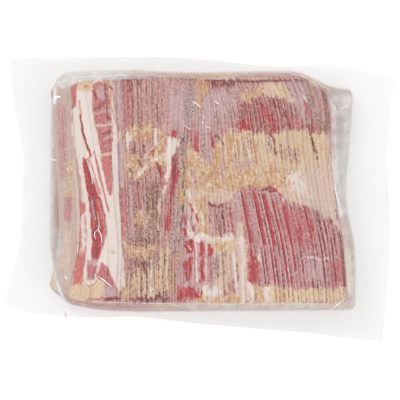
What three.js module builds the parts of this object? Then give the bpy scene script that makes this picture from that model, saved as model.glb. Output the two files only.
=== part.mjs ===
// A clear vacuum pouch of sliced bacon. It lies flat, with two layers of overlapping slices under the film.
// Units are millimetres. X runs along the pouch, Y along the slices, and Z up from the surface it lies on.
// The origin is under the middle of the pouch. The pouch and what it is shrunk onto are one closed solid.

import * as THREE from "three";

// The colour of streaky bacon under clear film.
const POUCH_LOOK = { color: "#c79aa0", roughness: 0.3, metalness: 0 };

// Heights.
const LAYER_HEIGHT = 22;
const SEAM_HEIGHT = 5.5;
const EDGE_HEIGHT = 2.4;
const MARGIN_WAVE = 1.7;
const MARGIN_WAVE_LENGTH = 92;
const FILM_THICKNESS = 0.8;

// Slices.
const LEFT_STACK_SLICES = 14;
const RIGHT_STACK_SLICES = 36;
const FLAT_SLICE_EDGES = [0.3, 0.56, 0.86];
const SLICE_STEP = 1.5;
const FLAT_SLICE_STEP = 1.5;
const STEP_WIDTH = 0.8;
const PITCH_SPREAD = 0.45;
const LEFT_STACK_LEAN = 0.06;
const RIGHT_STACK_LEAN = 0.12;
const FLAT_SLICE_LEAN = 0.1;

// The groove between the two stacks, and the crown of the upper face.
const GROOVE_DEPTH = 3.2;
const GROOVE_HALF_WIDTH = 5;
const CROWN = 2.4;
const FACE_HALF = { x: 150, y: 120 };

// How the film comes down from each side of the upper face, as the width of the slope in plan.
const SLOPE = { left: 23, right: 8, bottom: 8, top: 8 };
const FOOT_SLOPE = 6.5;
const FOOT_ROUND = 6;
const WALL_FULLNESS = 2.3;

// Corner radii in plan.
const FOOT_CORNER = { leftTop: 12, leftBottom: 14, rightTop: 8, rightBottom: 7 };
const FACE_CORNER = { leftTop: 7, leftBottom: 8, rightTop: 12, rightBottom: 6 };
const RELIEF_FADE = 5;
const RELIEF_ON_WALLS = 0.35;

// Upright lines. Each gives its X at these Y stations, from the top of the pouch down.
const UPRIGHT_STATIONS = { first: 150, step: -50 };
const POUCH_LEFT = [-200, -196, -187, -187, -190.5, -204, -212];
const FOOT_LEFT = [-148, -156, -157.5, -157.5, -157.5, -149, -132];
const FACE_LEFT = [-138, -134.5, -131, -126.5, -127.5, -139, -145];
const STACK_LEFT = [-89, -88, -86, -84.5, -82, -84.5, -87];
const GROOVE = [-8, -14, -18, -17.5, -22.5, -23.5, -27];
const FACE_RIGHT = [118, 135, 136.5, 142, 150, 154.5, 156];
const FOOT_RIGHT = [160, 160.5, 157, 154, 163, 163.8, 161];
const POUCH_RIGHT = [213, 202, 197, 199, 200, 197, 192.5];

// Level lines. Each gives its Y at these X stations, from the left of the pouch on.
const LEVEL_STATIONS = { first: -210, step: 35 };
const POUCH_TOP = [147, 149, 149.3, 149.6, 149.8, 149.5, 147.3, 143.5, 139.8, 139.8, 140.7, 134, 124];
const FOOT_TOP = [118, 127, 133, 135, 136, 134.5, 133.7, 134.5, 135.2, 133.5, 118, 115, 113];
const FACE_TOP = [108, 115, 121.6, 124.5, 125.3, 125.3, 125.3, 125.3, 125.3, 124.5, 106, 102, 100];
const FACE_BOTTOM = [-84, -92, -101, -107.6, -108.7, -108.7, -108.7, -108.7, -108.7, -108.7, -108.7, -108, -107];
const FOOT_BOTTOM = [-96, -103, -111, -117.6, -119.4, -119.4, -119, -118.5, -118.5, -118, -117.5, -117, -116];
const POUCH_BOTTOM = [-110.5, -121, -124, -124.8, -123.8, -127.5, -131.5, -134.7, -137.8, -140.5, -145, -149, -150.4];

// How far along each band the grid's own lines stand, from 0 up to but not including 1.
const MARGIN_LINES = [0, 0.35, 0.7];
const WALL_LINES = [0, 0.12, 0.34, 0.66];
const LEDGE_LINES = [0, 0.35, 0.6, 0.82];
const FACE_ROWS = 10;
const CROSSING_ROUNDS = 6;

/** A smooth curve through values that stand at evenly spaced stations. */
function throughStations(values, stations) {
  const curve = new THREE.SplineCurve(values.map((value, index) => new THREE.Vector2(index, value)));
  const last = values.length - 1;
  return (place) => {
    const share = (place - stations.first) / stations.step / last;
    return curve.getPoint(THREE.MathUtils.clamp(share, 0, 1)).y;
  };
}

const upright = (values) => throughStations(values, UPRIGHT_STATIONS);
const level = (values) => throughStations(values, LEVEL_STATIONS);

const sides = {
  pouch: { left: upright(POUCH_LEFT), right: upright(POUCH_RIGHT), bottom: level(POUCH_BOTTOM), top: level(POUCH_TOP) },
  foot: { left: upright(FOOT_LEFT), right: upright(FOOT_RIGHT), bottom: level(FOOT_BOTTOM), top: level(FOOT_TOP) },
  face: { left: upright(FACE_LEFT), right: upright(FACE_RIGHT), bottom: level(FACE_BOTTOM), top: level(FACE_TOP) },
};
const stackLeft = upright(STACK_LEFT);
const groove = upright(GROOVE);

/** A repeatable unevenness from -0.5 to 0.5 for the item of that number. */
function unevenness(number) {
  const spread = Math.sin(number * 12.9898) * 43758.5453;
  return spread - Math.floor(spread) - 0.5;
}

/** How far a point is inside a rounded four-sided outline, in units of each side's own slope. */
function insideBy(outline, corner, slope, x, y) {
  const fromLeft = (x - outline.left(y)) / slope.left;
  const fromRight = (outline.right(y) - x) / slope.right;
  const fromBottom = (y - outline.bottom(x)) / slope.bottom;
  const fromTop = (outline.top(x) - y) / slope.top;
  const across = Math.min(fromLeft, fromRight);
  const along = Math.min(fromBottom, fromTop);
  const name = (fromLeft < fromRight ? "left" : "right") + (fromBottom < fromTop ? "Bottom" : "Top");
  const radius = corner[name] / slope.top;
  if (across >= radius || along >= radius) return Math.min(across, along);
  return radius - Math.hypot(radius - across, radius - along);
}

/** The rounded rise of shrunk film: 0 at the foot of a wall, 1 from its top edge inwards. */
function rise(share) {
  const q = THREE.MathUtils.clamp(share, 0, 1);
  return (1 - (1 - q) ** WALL_FULLNESS) ** (1 / WALL_FULLNESS);
}

const evenSlope = { left: FOOT_SLOPE, right: FOOT_SLOPE, bottom: FOOT_SLOPE, top: FOOT_SLOPE };

const insideFoot = (x, y) => insideBy(sides.foot, FOOT_CORNER, evenSlope, x, y);
const insideFace = (x, y) => insideBy(sides.face, FACE_CORNER, SLOPE, x, y);

/** The height of the flat sealed margin: it leaves the meat at the seam and droops to its edge in slow waves. */
function marginHeight(x, y) {
  const out = THREE.MathUtils.clamp((-insideFoot(x, y) * FOOT_SLOPE) / 38, 0, 1);
  const turn = (2 * Math.PI) / MARGIN_WAVE_LENGTH;
  const wave = Math.sin(turn * (x + 0.35 * y) + 0.8) * Math.cos(turn * (y - 0.2 * x) - 0.5);
  return THREE.MathUtils.lerp(SEAM_HEIGHT, EDGE_HEIGHT, out) + MARGIN_WAVE * Math.min(1, 1.6 * out) * wave;
}

/** The height of the film over the meat, without the slices' own steps. */
function packHeight(x, y) {
  const lower = LAYER_HEIGHT * rise(insideFoot(x, y));
  const face = insideFace(x, y);
  const upper = LAYER_HEIGHT * rise(1 + face);
  const bowed = CROWN * ((x / FACE_HALF.x) ** 2 + (y / FACE_HALF.y) ** 2) / 2;
  const dip = GROOVE_DEPTH * Math.exp(-(((x - groove(y)) / GROOVE_HALF_WIDTH) ** 2));
  const onFace = THREE.MathUtils.clamp(1 + face, 0, 1);
  return lower + upper - (bowed + dip) * onFace;
}

/** The film's upper side. The relief of a grid line is full on the face and fades out down the walls. */
function upperSide(x, y, relief) {
  const inward = insideFace(x, y) * SLOPE.top;
  const onFace = THREE.MathUtils.smoothstep(inward, 0, RELIEF_FADE);
  const onPack = THREE.MathUtils.clamp(insideFoot(x, y), 0, 1);
  const share = onPack * THREE.MathUtils.lerp(RELIEF_ON_WALLS, 1, onFace);
  return Math.max(packHeight(x, y) + relief * share, marginHeight(x, y) + FILM_THICKNESS / 2);
}

/** The film's underside: flat under the meat, rounded up to the margin. */
function underside(x, y) {
  const inward = (insideFoot(x, y) * FOOT_SLOPE) / FOOT_ROUND;
  return (marginHeight(x, y) - FILM_THICKNESS / 2) * (1 - rise(inward));
}

/** The same spacing of grid lines, taken from its far end. */
function outwards(shares) {
  return [0, ...shares.slice(1).map((share) => 1 - share).reverse()];
}

/** Grid lines between two upright lines, without relief. */
function plainColumns(from, to, shares) {
  return shares.map((share) => ({ x: (y) => THREE.MathUtils.lerp(from(y), to(y), share), relief: 0 }));
}

/** Grid lines for overlapping slices: each slice is high at its right edge and steps down to the next one. */
function sliceColumns(from, to, edges, lean, step, seed) {
  return edges.flatMap((share, index) => {
    const shift = lean * Math.sin(Math.PI * share);
    const edge = (y) => THREE.MathUtils.lerp(from(y), to(y), share) - shift * y;
    const drop = step * (1 + unevenness(seed + index));
    return [
      { x: edge, relief: 0 },
      { x: (y) => edge(y) + STEP_WIDTH, relief: -drop },
    ];
  });
}

/** Where each slice's edge shows in a stack, as uneven shares of the stack's width. */
function stackEdges(count, seed) {
  const shares = Array.from({ length: count - 1 }, (_, index) => index + 1);
  return shares.map((place) => (place + PITCH_SPREAD * unevenness(seed + place)) / count);
}

/** All upright grid lines, from the pouch's left edge to its right edge. */
function allColumns() {
  const { pouch, foot, face } = sides;
  const none = [0];
  return [
    ...plainColumns(pouch.left, foot.left, MARGIN_LINES),
    ...plainColumns(foot.left, face.left, WALL_LINES),
    ...plainColumns(face.left, stackLeft, none),
    ...sliceColumns(face.left, stackLeft, FLAT_SLICE_EDGES, FLAT_SLICE_LEAN, FLAT_SLICE_STEP, 300),
    ...plainColumns(stackLeft, groove, none),
    ...sliceColumns(stackLeft, groove, stackEdges(LEFT_STACK_SLICES, 100), LEFT_STACK_LEAN, SLICE_STEP, 400),
    ...plainColumns(groove, face.right, none),
    ...sliceColumns(groove, face.right, stackEdges(RIGHT_STACK_SLICES, 200), RIGHT_STACK_LEAN, SLICE_STEP, 500),
    ...plainColumns(face.right, foot.right, LEDGE_LINES),
    ...plainColumns(foot.right, pouch.right, outwards(MARGIN_LINES)),
    ...plainColumns(pouch.right, pouch.right, none),
  ];
}

/** Grid rows between two level lines. */
function rowsBetween(from, to, shares) {
  return shares.map((share) => (x) => THREE.MathUtils.lerp(from(x), to(x), share));
}

/** All level grid lines, from the pouch's bottom edge to its top edge. */
function allRows() {
  const { pouch, foot, face } = sides;
  const faceShares = Array.from({ length: FACE_ROWS }, (_, index) => index / FACE_ROWS);
  return [
    ...rowsBetween(pouch.bottom, foot.bottom, MARGIN_LINES),
    ...rowsBetween(foot.bottom, face.bottom, WALL_LINES),
    ...rowsBetween(face.bottom, face.top, faceShares),
    ...rowsBetween(face.top, foot.top, outwards(WALL_LINES)),
    ...rowsBetween(foot.top, pouch.top, outwards(MARGIN_LINES)),
    pouch.top,
  ];
}

/** The grid's corner points: the film's upper side and its underside at each crossing of two lines. */
function gridPoints(columns, rows) {
  return columns.map((column) => {
    return rows.map((row) => {
      let x = column.x(0);
      for (let round = 0; round < CROSSING_ROUNDS; round++) x = column.x(row(x));
      const y = row(x);
      return {
        above: new THREE.Vector3(x, y, upperSide(x, y, column.relief)),
        below: new THREE.Vector3(x, y, underside(x, y)),
      };
    });
  });
}

/** The crossings around a rectangle of the grid, counter-clockwise seen from above. */
function ringAround(rect) {
  const ring = [];
  for (let i = rect.left; i < rect.right; i++) ring.push([i, rect.bottom]);
  for (let j = rect.bottom; j < rect.top; j++) ring.push([rect.right, j]);
  for (let i = rect.right; i > rect.left; i--) ring.push([i, rect.top]);
  for (let j = rect.top; j > rect.bottom; j--) ring.push([rect.left, j]);
  return ring;
}

/** The pouch as one closed surface: a full grid above, a border of grid below and one flat base inside it. */
function pouchGeometry() {
  const columns = allColumns();
  const rows = allRows();
  const points = gridPoints(columns, rows);
  const lastColumn = columns.length - 1;
  const lastRow = rows.length - 1;
  const base = {
    left: MARGIN_LINES.length + WALL_LINES.length,
    right: lastColumn - MARGIN_LINES.length - LEDGE_LINES.length,
    bottom: MARGIN_LINES.length + WALL_LINES.length,
    top: lastRow - MARGIN_LINES.length - WALL_LINES.length,
  };
  const triangles = [];
  const triangle = (a, b, c) => triangles.push(a, b, c);
  const quad = (a, b, c, d) => {
    triangle(a, b, c);
    triangle(a, c, d);
  };
  const above = (i, j) => points[i][j].above;
  const below = (i, j) => points[i][j].below;
  const overBase = (i, j) => i >= base.left && i < base.right && j >= base.bottom && j < base.top;

  for (let i = 0; i < lastColumn; i++) {
    for (let j = 0; j < lastRow; j++) {
      quad(above(i, j), above(i + 1, j), above(i + 1, j + 1), above(i, j + 1));
      if (!overBase(i, j)) quad(below(i, j), below(i, j + 1), below(i + 1, j + 1), below(i + 1, j));
    }
  }

  const outer = ringAround({ left: 0, right: lastColumn, bottom: 0, top: lastRow });
  outer.forEach(([i, j], index) => {
    const [nextI, nextJ] = outer[(index + 1) % outer.length];
    quad(below(i, j), below(nextI, nextJ), above(nextI, nextJ), above(i, j));
  });

  const inner = ringAround(base).map(([i, j]) => below(i, j));
  inner.forEach((point) => point.setZ(0));
  const flat = inner.map((point) => new THREE.Vector2(point.x, point.y));
  const faces = THREE.ShapeUtils.triangulateShape(flat, []);
  faces.forEach(([a, b, c]) => triangle(inner[a], inner[c], inner[b]));

  return new THREE.BufferGeometry().setFromPoints(triangles);
}

/** The pouch's mesh, with the middle of its outline over the origin. */
function makePouch() {
  const geometry = pouchGeometry();
  geometry.computeVertexNormals();
  geometry.computeBoundingBox();
  const middle = geometry.boundingBox.getCenter(new THREE.Vector3());
  const material = new THREE.MeshStandardMaterial(POUCH_LOOK);
  const mesh = new THREE.Mesh(geometry, material);
  mesh.name = "sealed_pouch";
  mesh.position.set(-middle.x, -middle.y, -geometry.boundingBox.min.z);
  return mesh;
}

const group = new THREE.Group();
group.add(makePouch());

export default group;
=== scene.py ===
import logging
import math
from collections.abc import Callable
from dataclasses import dataclass, field
from enum import Enum

import bmesh
import bpy
import numpy as np
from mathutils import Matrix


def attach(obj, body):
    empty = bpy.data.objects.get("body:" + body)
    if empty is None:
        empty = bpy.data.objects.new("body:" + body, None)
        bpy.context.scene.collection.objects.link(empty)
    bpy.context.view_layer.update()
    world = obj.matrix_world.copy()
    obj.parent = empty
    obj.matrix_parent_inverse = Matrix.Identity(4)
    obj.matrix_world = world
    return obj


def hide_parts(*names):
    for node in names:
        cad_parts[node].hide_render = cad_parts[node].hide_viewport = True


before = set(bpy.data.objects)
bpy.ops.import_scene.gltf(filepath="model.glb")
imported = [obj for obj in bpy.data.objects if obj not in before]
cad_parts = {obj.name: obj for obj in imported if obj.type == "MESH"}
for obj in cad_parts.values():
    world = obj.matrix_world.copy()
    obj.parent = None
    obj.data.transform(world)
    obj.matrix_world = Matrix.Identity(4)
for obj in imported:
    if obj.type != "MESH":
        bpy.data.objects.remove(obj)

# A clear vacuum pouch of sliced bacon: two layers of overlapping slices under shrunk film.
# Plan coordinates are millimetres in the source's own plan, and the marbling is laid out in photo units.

CAD_NODE = "sealed_pouch"
MM = 0.001

# Millimetres in a photo unit, the plan's origin in photo units, and the plan's place in the model.
PHOTO_UNIT = 1.05
PHOTO_MIDDLE = (200.0, 198.8)
ROW_SHIFT = (-0.666, 0.071)

# The pack's sizes in millimetres, the same as in the source. The walls' curve is a power, and full.
LAYER_HEIGHT = 22.0
SEAM_HEIGHT = 5.5
EDGE_HEIGHT = 2.4
MARGIN_DROOP = 38.0
MARGIN_WAVE = 1.7
MARGIN_WAVE_LENGTH = 92.0
WELD_THICKNESS = 0.6
GROOVE_DEPTH = 3.2
GROOVE_HALF_WIDTH = 5.0
CROWN = 2.4
FACE_HALF = (150.0, 120.0)
FOOT_SLOPE = 6.5
FOOT_ROUND = 6.0
WALL_SLOPE = 8.0
LEFT_SLOPE = 23.0
FULLNESS = 2.3
STEP_WIDTH = 0.8

# How far the slices stay under the film, and how much sooner points move along Y than along X.
CLEARANCE = 0.45
Y_PULL = 1.3

# Numbers that scatter whole numbers evenly.
SCATTER_TURN = 12.9898
SCATTER_SIZE = 43758.5453

Plan = np.ndarray
PlanLine = Callable[[Plan], Plan]

log = logging.getLogger("bacon_pouch")


def linear(colour: str) -> tuple[float, float, float]:
    """Turn an sRGB hex colour such as "#rrggbb" into linear red, green and blue."""
    parts = [int(colour[at:at + 2], 16) / 255 for at in (1, 3, 5)]
    return tuple(part / 12.92 if part <= 0.04045 else ((part + 0.055) / 1.055) ** 2.4 for part in parts)


def opaque(colour: str) -> tuple[float, float, float, float]:
    """An sRGB hex colour as linear light with no transparency."""
    return (*linear(colour), 1.0)


def smooth(value: Plan, low: float | Plan, high: float | Plan) -> Plan:
    """Rise smoothly from 0 at low to 1 at high."""
    share = np.clip((value - low) / (high - low), 0, 1)
    return share * share * (3 - 2 * share)


def mix(a: Plan | float, b: Plan | float, share: Plan | float) -> Plan:
    """Blend from a to b by the given share."""
    return a + (b - a) * share


def unevenness(number: Plan | int) -> Plan:
    """A repeatable unevenness from -0.5 to 0.5 for the item of that number."""
    spread = np.sin(np.asarray(number, dtype=float) * SCATTER_TURN) * SCATTER_SIZE
    return spread - np.floor(spread) - 0.5


def to_photo(x: Plan, y: Plan) -> tuple[Plan, Plan]:
    """Turn plan millimetres into photo units, from the photo's top left corner."""
    return x / PHOTO_UNIT + PHOTO_MIDDLE[0], PHOTO_MIDDLE[1] - y / PHOTO_UNIT


def to_plan(across: float, down: float) -> tuple[float, float]:
    """Turn photo units into plan millimetres."""
    return (across - PHOTO_MIDDLE[0]) * PHOTO_UNIT, (PHOTO_MIDDLE[1] - down) * PHOTO_UNIT


def towards_middle(x: Plan, y: Plan, step: Plan) -> tuple[Plan, Plan]:
    """Move plan positions by a step in millimetres towards the middle of the pack."""
    away = np.maximum(np.hypot(x, y * Y_PULL), 1.0)
    return x - step * x / away, y - step * y * Y_PULL / away


def two_sided(grid: Plan) -> Plan:
    """Give a grid's values to the upper and the lower side of a sheet alike."""
    return np.stack([grid, grid], axis=-1)


class Grain:
    """Seeded smooth noise over a plane, from -1 to 1."""

    def __init__(self, seed: int, cells: int = 61) -> None:
        """Draw a lattice of values, with that many cells before the noise repeats."""
        self._values = np.random.default_rng(seed).uniform(-1, 1, (cells, cells))

    def at(self, x: Plan, y: Plan) -> Plan:
        """Read the noise.

        Args:
            x: Positions in lattice cells.
            y: Positions in lattice cells.

        Returns:
            The noise at each position.
        """
        size = len(self._values)
        x, y = np.broadcast_arrays(np.asarray(x, dtype=float), np.asarray(y, dtype=float))
        left = np.floor(x).astype(int)
        low = np.floor(y).astype(int)
        across = smooth(x - left, 0.0, 1.0)
        up = smooth(y - low, 0.0, 1.0)
        value = self._values
        bottom = mix(value[left % size, low % size], value[(left + 1) % size, low % size], across)
        top = mix(value[left % size, (low + 1) % size], value[(left + 1) % size, (low + 1) % size], across)
        return mix(bottom, top, up)


class Line:
    """A smooth line through values at evenly spaced stations, as the source draws it."""

    def __init__(self, values: tuple[float, ...], first: float, step: float) -> None:
        """Keep the stations.

        Args:
            values: The line's value at each station.
            first: Where the first station is.
            step: From one station to the next.
        """
        self._values = np.array(values, dtype=float)
        self._first = first
        self._step = step

    def __call__(self, place: Plan) -> Plan:
        """Read the line.

        Args:
            place: Positions along the stations, in millimetres.

        Returns:
            The line's value at each position.
        """
        last = len(self._values) - 1
        along = np.clip((place - self._first) / self._step, 0, last)
        index = np.minimum(along.astype(int), last - 1)
        t = along - index
        p0 = self._values[np.maximum(index - 1, 0)]
        p1 = self._values[index]
        p2 = self._values[index + 1]
        p3 = self._values[np.minimum(index + 2, last)]
        v0 = (p2 - p0) / 2
        v1 = (p3 - p1) / 2
        return (2 * p1 - 2 * p2 + v0 + v1) * t ** 3 + (-3 * p1 + 3 * p2 - 2 * v0 - v1) * t ** 2 + v0 * t + p1


def upright(*values: float) -> Line:
    """A line that gives X at Y stations from the top of the pouch down."""
    return Line(values, 150.0, -50.0)


def level(*values: float) -> Line:
    """A line that gives Y at X stations from the left of the pouch on."""
    return Line(values, -210.0, 35.0)


@dataclass(frozen=True)
class Outline:
    """A rounded four-sided outline, with its corner radii and the width of its slopes."""

    left: Line
    right: Line
    bottom: Line
    top: Line
    corners: dict[str, float]
    left_slope: float
    slope: float

    def inside(self, x: Plan, y: Plan) -> Plan:
        """How far points are inside, in units of each side's own slope.

        Args:
            x: Plan positions.
            y: Plan positions.

        Returns:
            Positive numbers inside the outline and negative ones outside it.
        """
        from_left = (x - self.left(y)) / self.left_slope
        from_right = (self.right(y) - x) / self.slope
        from_bottom = (y - self.bottom(x)) / self.slope
        from_top = (self.top(x) - y) / self.slope
        across = np.minimum(from_left, from_right)
        along = np.minimum(from_bottom, from_top)
        corner = self.corners
        on_left = np.where(from_bottom < from_top, corner["left_bottom"], corner["left_top"])
        on_right = np.where(from_bottom < from_top, corner["right_bottom"], corner["right_top"])
        radius = np.where(from_left < from_right, on_left, on_right) / self.slope
        rounded = radius - np.hypot(radius - across, radius - along)
        return np.where((across >= radius) | (along >= radius), np.minimum(across, along), rounded)

    def inset(self, x: Plan, y: Plan, depth: Plan, top: bool) -> Plan:
        """How far along Y a point has to stay off the top or bottom side to be that deep inside.

        Args:
            x: Plan positions.
            y: Plan positions near that side.
            depth: The wanted depth, in units of the slope.
            top: Whether the side is the top one.

        Returns:
            Distances in millimetres, which grow round the corners.
        """
        from_left = (x - self.left(y)) / self.left_slope
        from_right = (self.right(y) - x) / self.slope
        corner = self.corners
        on_left = corner["left_top"] if top else corner["left_bottom"]
        on_right = corner["right_top"] if top else corner["right_bottom"]
        radius = np.where(from_left < from_right, on_left, on_right) / self.slope
        across = np.minimum(from_left, from_right)
        short = np.maximum(radius - across, 0)
        room = np.maximum((radius - depth) ** 2 - short ** 2, 0)
        return self.slope * np.where(across >= radius, depth, np.maximum(radius - np.sqrt(room), depth))


def rise(share: Plan) -> Plan:
    """The rounded rise of shrunk film: 0 at the foot of a wall, 1 from its top edge inwards."""
    rest = 1 - np.clip(share, 0, 1)
    return (1 - rest ** FULLNESS) ** (1 / FULLNESS)


def setback(share: Plan) -> Plan:
    """How far along its slope a wall has come at that share of its height, from 0 to 1."""
    return 1 - (1 - np.clip(share, 0, 1) ** FULLNESS) ** (1 / FULLNESS)


class PackShape:
    """The pouch's outlines and heights, the same as in the source."""

    def __init__(self) -> None:
        """Draw the outlines."""
        self.pouch_left = upright(-200, -196, -187, -187, -190.5, -204, -212)
        self.pouch_right = upright(213, 202, 197, 199, 200, 197, 192.5)
        self.pouch_bottom = level(-110.5, -121, -124, -124.8, -123.8, -127.5, -131.5, -134.7, -137.8,
                                  -140.5, -145, -149, -150.4)
        self.pouch_top = level(147, 149, 149.3, 149.6, 149.8, 149.5, 147.3, 143.5, 139.8, 139.8, 140.7, 134,
                               124)
        self.stack_left = upright(-89, -88, -86, -84.5, -82, -84.5, -87)
        self.groove = upright(-8, -14, -18, -17.5, -22.5, -23.5, -27)
        self.foot = Outline(
            left=upright(-148, -156, -157.5, -157.5, -157.5, -149, -132),
            right=upright(160, 160.5, 157, 154, 163, 163.8, 161),
            bottom=level(-96, -103, -111, -117.6, -119.4, -119.4, -119, -118.5, -118.5, -118, -117.5, -117,
                         -116),
            top=level(118, 127, 133, 135, 136, 134.5, 133.7, 134.5, 135.2, 133.5, 118, 115, 113),
            corners={"left_top": 12, "left_bottom": 14, "right_top": 8, "right_bottom": 7},
            left_slope=FOOT_SLOPE,
            slope=FOOT_SLOPE,
        )
        self.face = Outline(
            left=upright(-138, -134.5, -131, -126.5, -127.5, -139, -145),
            right=upright(118, 135, 136.5, 142, 150, 154.5, 156),
            bottom=level(-84, -92, -101, -107.6, -108.7, -108.7, -108.7, -108.7, -108.7, -108.7, -108.7, -108,
                         -107),
            top=level(108, 115, 121.6, 124.5, 125.3, 125.3, 125.3, 125.3, 125.3, 124.5, 106, 102, 100),
            corners={"left_top": 7, "left_bottom": 8, "right_top": 12, "right_bottom": 6},
            left_slope=LEFT_SLOPE,
            slope=WALL_SLOPE,
        )

    def lower(self, x: Plan, y: Plan) -> Plan:
        """The height of the lower layer."""
        return LAYER_HEIGHT * rise(self.foot.inside(x, y))

    def height(self, x: Plan, y: Plan) -> Plan:
        """The height of the film over the meat, without the slices' own steps.

        Args:
            x: Plan positions.
            y: Plan positions.

        Returns:
            Heights in millimetres.
        """
        face = self.face.inside(x, y)
        upper = LAYER_HEIGHT * rise(1 + face)
        bowed = CROWN * ((x / FACE_HALF[0]) ** 2 + (y / FACE_HALF[1]) ** 2) / 2
        dip = GROOVE_DEPTH * np.exp(-(((x - self.groove(y)) / GROOVE_HALF_WIDTH) ** 2))
        return self.lower(x, y) + upper - (bowed + dip) * np.clip(1 + face, 0, 1)

    def height_around(self, x: Plan, y: Plan, reach: float) -> Plan:
        """The lowest height within a reach, which is well clear of a steep wall."""
        around = ((0, 0), (reach, 0), (-reach, 0), (0, reach), (0, -reach))
        return np.minimum.reduce([self.height(x + across, y + along) for across, along in around])

    def margin(self, x: Plan, y: Plan) -> Plan:
        """The height of the flat sealed margin, which droops to its edge in slow waves.

        Args:
            x: Plan positions.
            y: Plan positions.

        Returns:
            Heights in millimetres.
        """
        out = np.clip(-self.foot.inside(x, y) * FOOT_SLOPE / MARGIN_DROOP, 0, 1)
        turn = 2 * math.pi / MARGIN_WAVE_LENGTH
        wave = np.sin(turn * (x + 0.35 * y) + 0.8) * np.cos(turn * (y - 0.2 * x) - 0.5)
        return mix(SEAM_HEIGHT, EDGE_HEIGHT, out) + MARGIN_WAVE * np.minimum(1, 1.6 * out) * wave

    def underside(self, x: Plan, y: Plan) -> Plan:
        """The film's underside: flat under the meat, rounded up to the margin."""
        inward = self.foot.inside(x, y) * FOOT_SLOPE / FOOT_ROUND
        return (self.margin(x, y) - WELD_THICKNESS / 2) * (1 - rise(inward))


SHAPE = PackShape()


@dataclass(frozen=True)
class TissueLook:
    """How one kind of tissue looks under the film, and how much of each surface pattern it has."""

    seen: str
    # The crease colour and its strength below are painted shade along each slice's crease, partly the
    # tissue's own darker colour
    crease: str
    fatness: float
    mottle: float
    pepper: float
    crease_shade_strength: float


class Tissue(Enum):
    """The kinds of lean and fat that the slices show."""

    LEAN = TissueLook("#c48a86", "#92484a", 0.0, 0.6, 0.15, 0.9)
    MAUVE = TissueLook("#c4938f", "#8a4446", 0.0, 0.7, 0.35, 0.9)
    LILAC = TissueLook("#cba4a6", "#9c6266", 0.1, 0.4, 0.25, 0.7)
    STRIPED = TissueLook("#c0888b", "#892b34", 0.0, 0.6, 0.1, 1.7)
    FANNED = TissueLook("#ad6c66", "#842b32", 0.0, 0.6, 0.15, 1.6)
    SPECKLED = TissueLook("#ad7e76", "#77433f", 0.1, 0.76, 1.0, 0.8)
    STREAKY = TissueLook("#cda790", "#744640", 0.6, 0.78, 0.8, 1.3)
    RED = TissueLook("#b8313b", "#7d2c34", 0.0, 0.3, 0.05, 0.8)
    DEEP = TissueLook("#85383b", "#5f2a2a", 0.0, 0.4, 0.2, 0.5)
    SALMON = TissueLook("#cb716c", "#a54f4c", 0.1, 0.4, 0.0, 0.6)
    ROSE = TissueLook("#c37375", "#96444a", 0.0, 0.6, 0.1, 1.0)
    CREAM = TissueLook("#dcc0a0", "#b58d72", 1.0, 0.6, 0.15, 0.4)
    RIND = TissueLook("#dec5a8", "#a9774c", 1.0, 0.6, 0.2, 1.1)
    CRUMB = TissueLook("#dcb993", "#b08a68", 0.9, 1.0, 0.45, 0.15)
    PALE = TissueLook("#dabdaf", "#bf9488", 0.8, 0.55, 0.05, 0.3)
    WHITE = TissueLook("#e5d8d0", "#cfa99e", 0.9, 0.1, 0.0, 0.35)
    TAN = TissueLook("#cf9c6c", "#9a6443", 0.8, 0.6, 0.1, 0.5)
    BROWN = TissueLook("#9c6c5a", "#6a4238", 0.4, 0.6, 0.4, 0.5)
    PEPPERED = TissueLook("#c09d99", "#8a6663", 0.2, 0.7, 1.0, 0.6)
    BEIGE = TissueLook("#c6a698", "#b08a7c", 0.9, 0.25, 0.0, 0.3)
    MARBLED = TissueLook("#c99a90", "#8f5a50", 0.4, 1.0, 0.6, 0.35)
    PEPPER = TissueLook("#4c3637", "#3a2829", 0.0, 0.2, 0.0, 0.2)
    MILK = TissueLook("#c0b2ac", "#b1a09a", 0.8, 0.15, 0.0, 0.2)


@dataclass(frozen=True)
class Patch:
    """A soft-edged area in photo units."""

    value: Tissue | float
    soft: float
    points: tuple[tuple[float, float], ...]
    ragged: float = 1.3
    half_edge: float = 0.7

    def cover(self, x: Plan, y: Plan, fray: Plan | float = 0.0) -> Plan:
        """How far points lie in the area.

        Args:
            x: Photo positions.
            y: Photo positions.
            fray: Noise that frays the outline, the more the softer it is.

        Returns:
            From 0 outside to 1 inside.
        """
        away = distance_to(self.points + self.points[:1], x, y)
        odd = np.zeros(x.shape, dtype=bool)
        for (ax, ay), (bx, by) in zip(self.points, self.points[1:] + self.points[:1]):
            if ay == by:
                continue
            crosses = (ay > y) != (by > y)
            odd ^= crosses & (x < (bx - ax) * (y - ay) / (by - ay) + ax)
        inward = np.where(odd, away, -away) + self.ragged * self.soft * fray
        return smooth(inward, -self.half_edge * self.soft, self.half_edge * self.soft)

    def reach(self) -> tuple[float, float, float, float]:
        """The box beyond which the area has no effect."""
        return box_around(self.points, 2 * self.soft)


@dataclass(frozen=True)
class Streak:
    """A tapering stroke in photo units."""

    value: Tissue | float
    width: float
    points: tuple[tuple[float, float], ...]
    ragged: float = 0.3
    full_share: float = 0.28
    soft_edge: float = 0.35

    def cover(self, x: Plan, y: Plan, fray: Plan | float = 0.0) -> Plan:
        """How far points lie on the stroke, from 0 to 1, with its outline frayed by noise."""
        away = distance_to(self.points, x, y) + self.ragged * self.width * fray
        return 1 - smooth(away, self.width * self.full_share, self.width * 0.5 + self.soft_edge)

    def reach(self) -> tuple[float, float, float, float]:
        """The box beyond which the stroke has no effect."""
        return box_around(self.points, self.width)


@dataclass(frozen=True)
class Seam:
    """A stroke that follows one slice's crease, from one photo height to another."""

    value: Tissue
    width: float
    across: float
    start: float
    end: float


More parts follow.
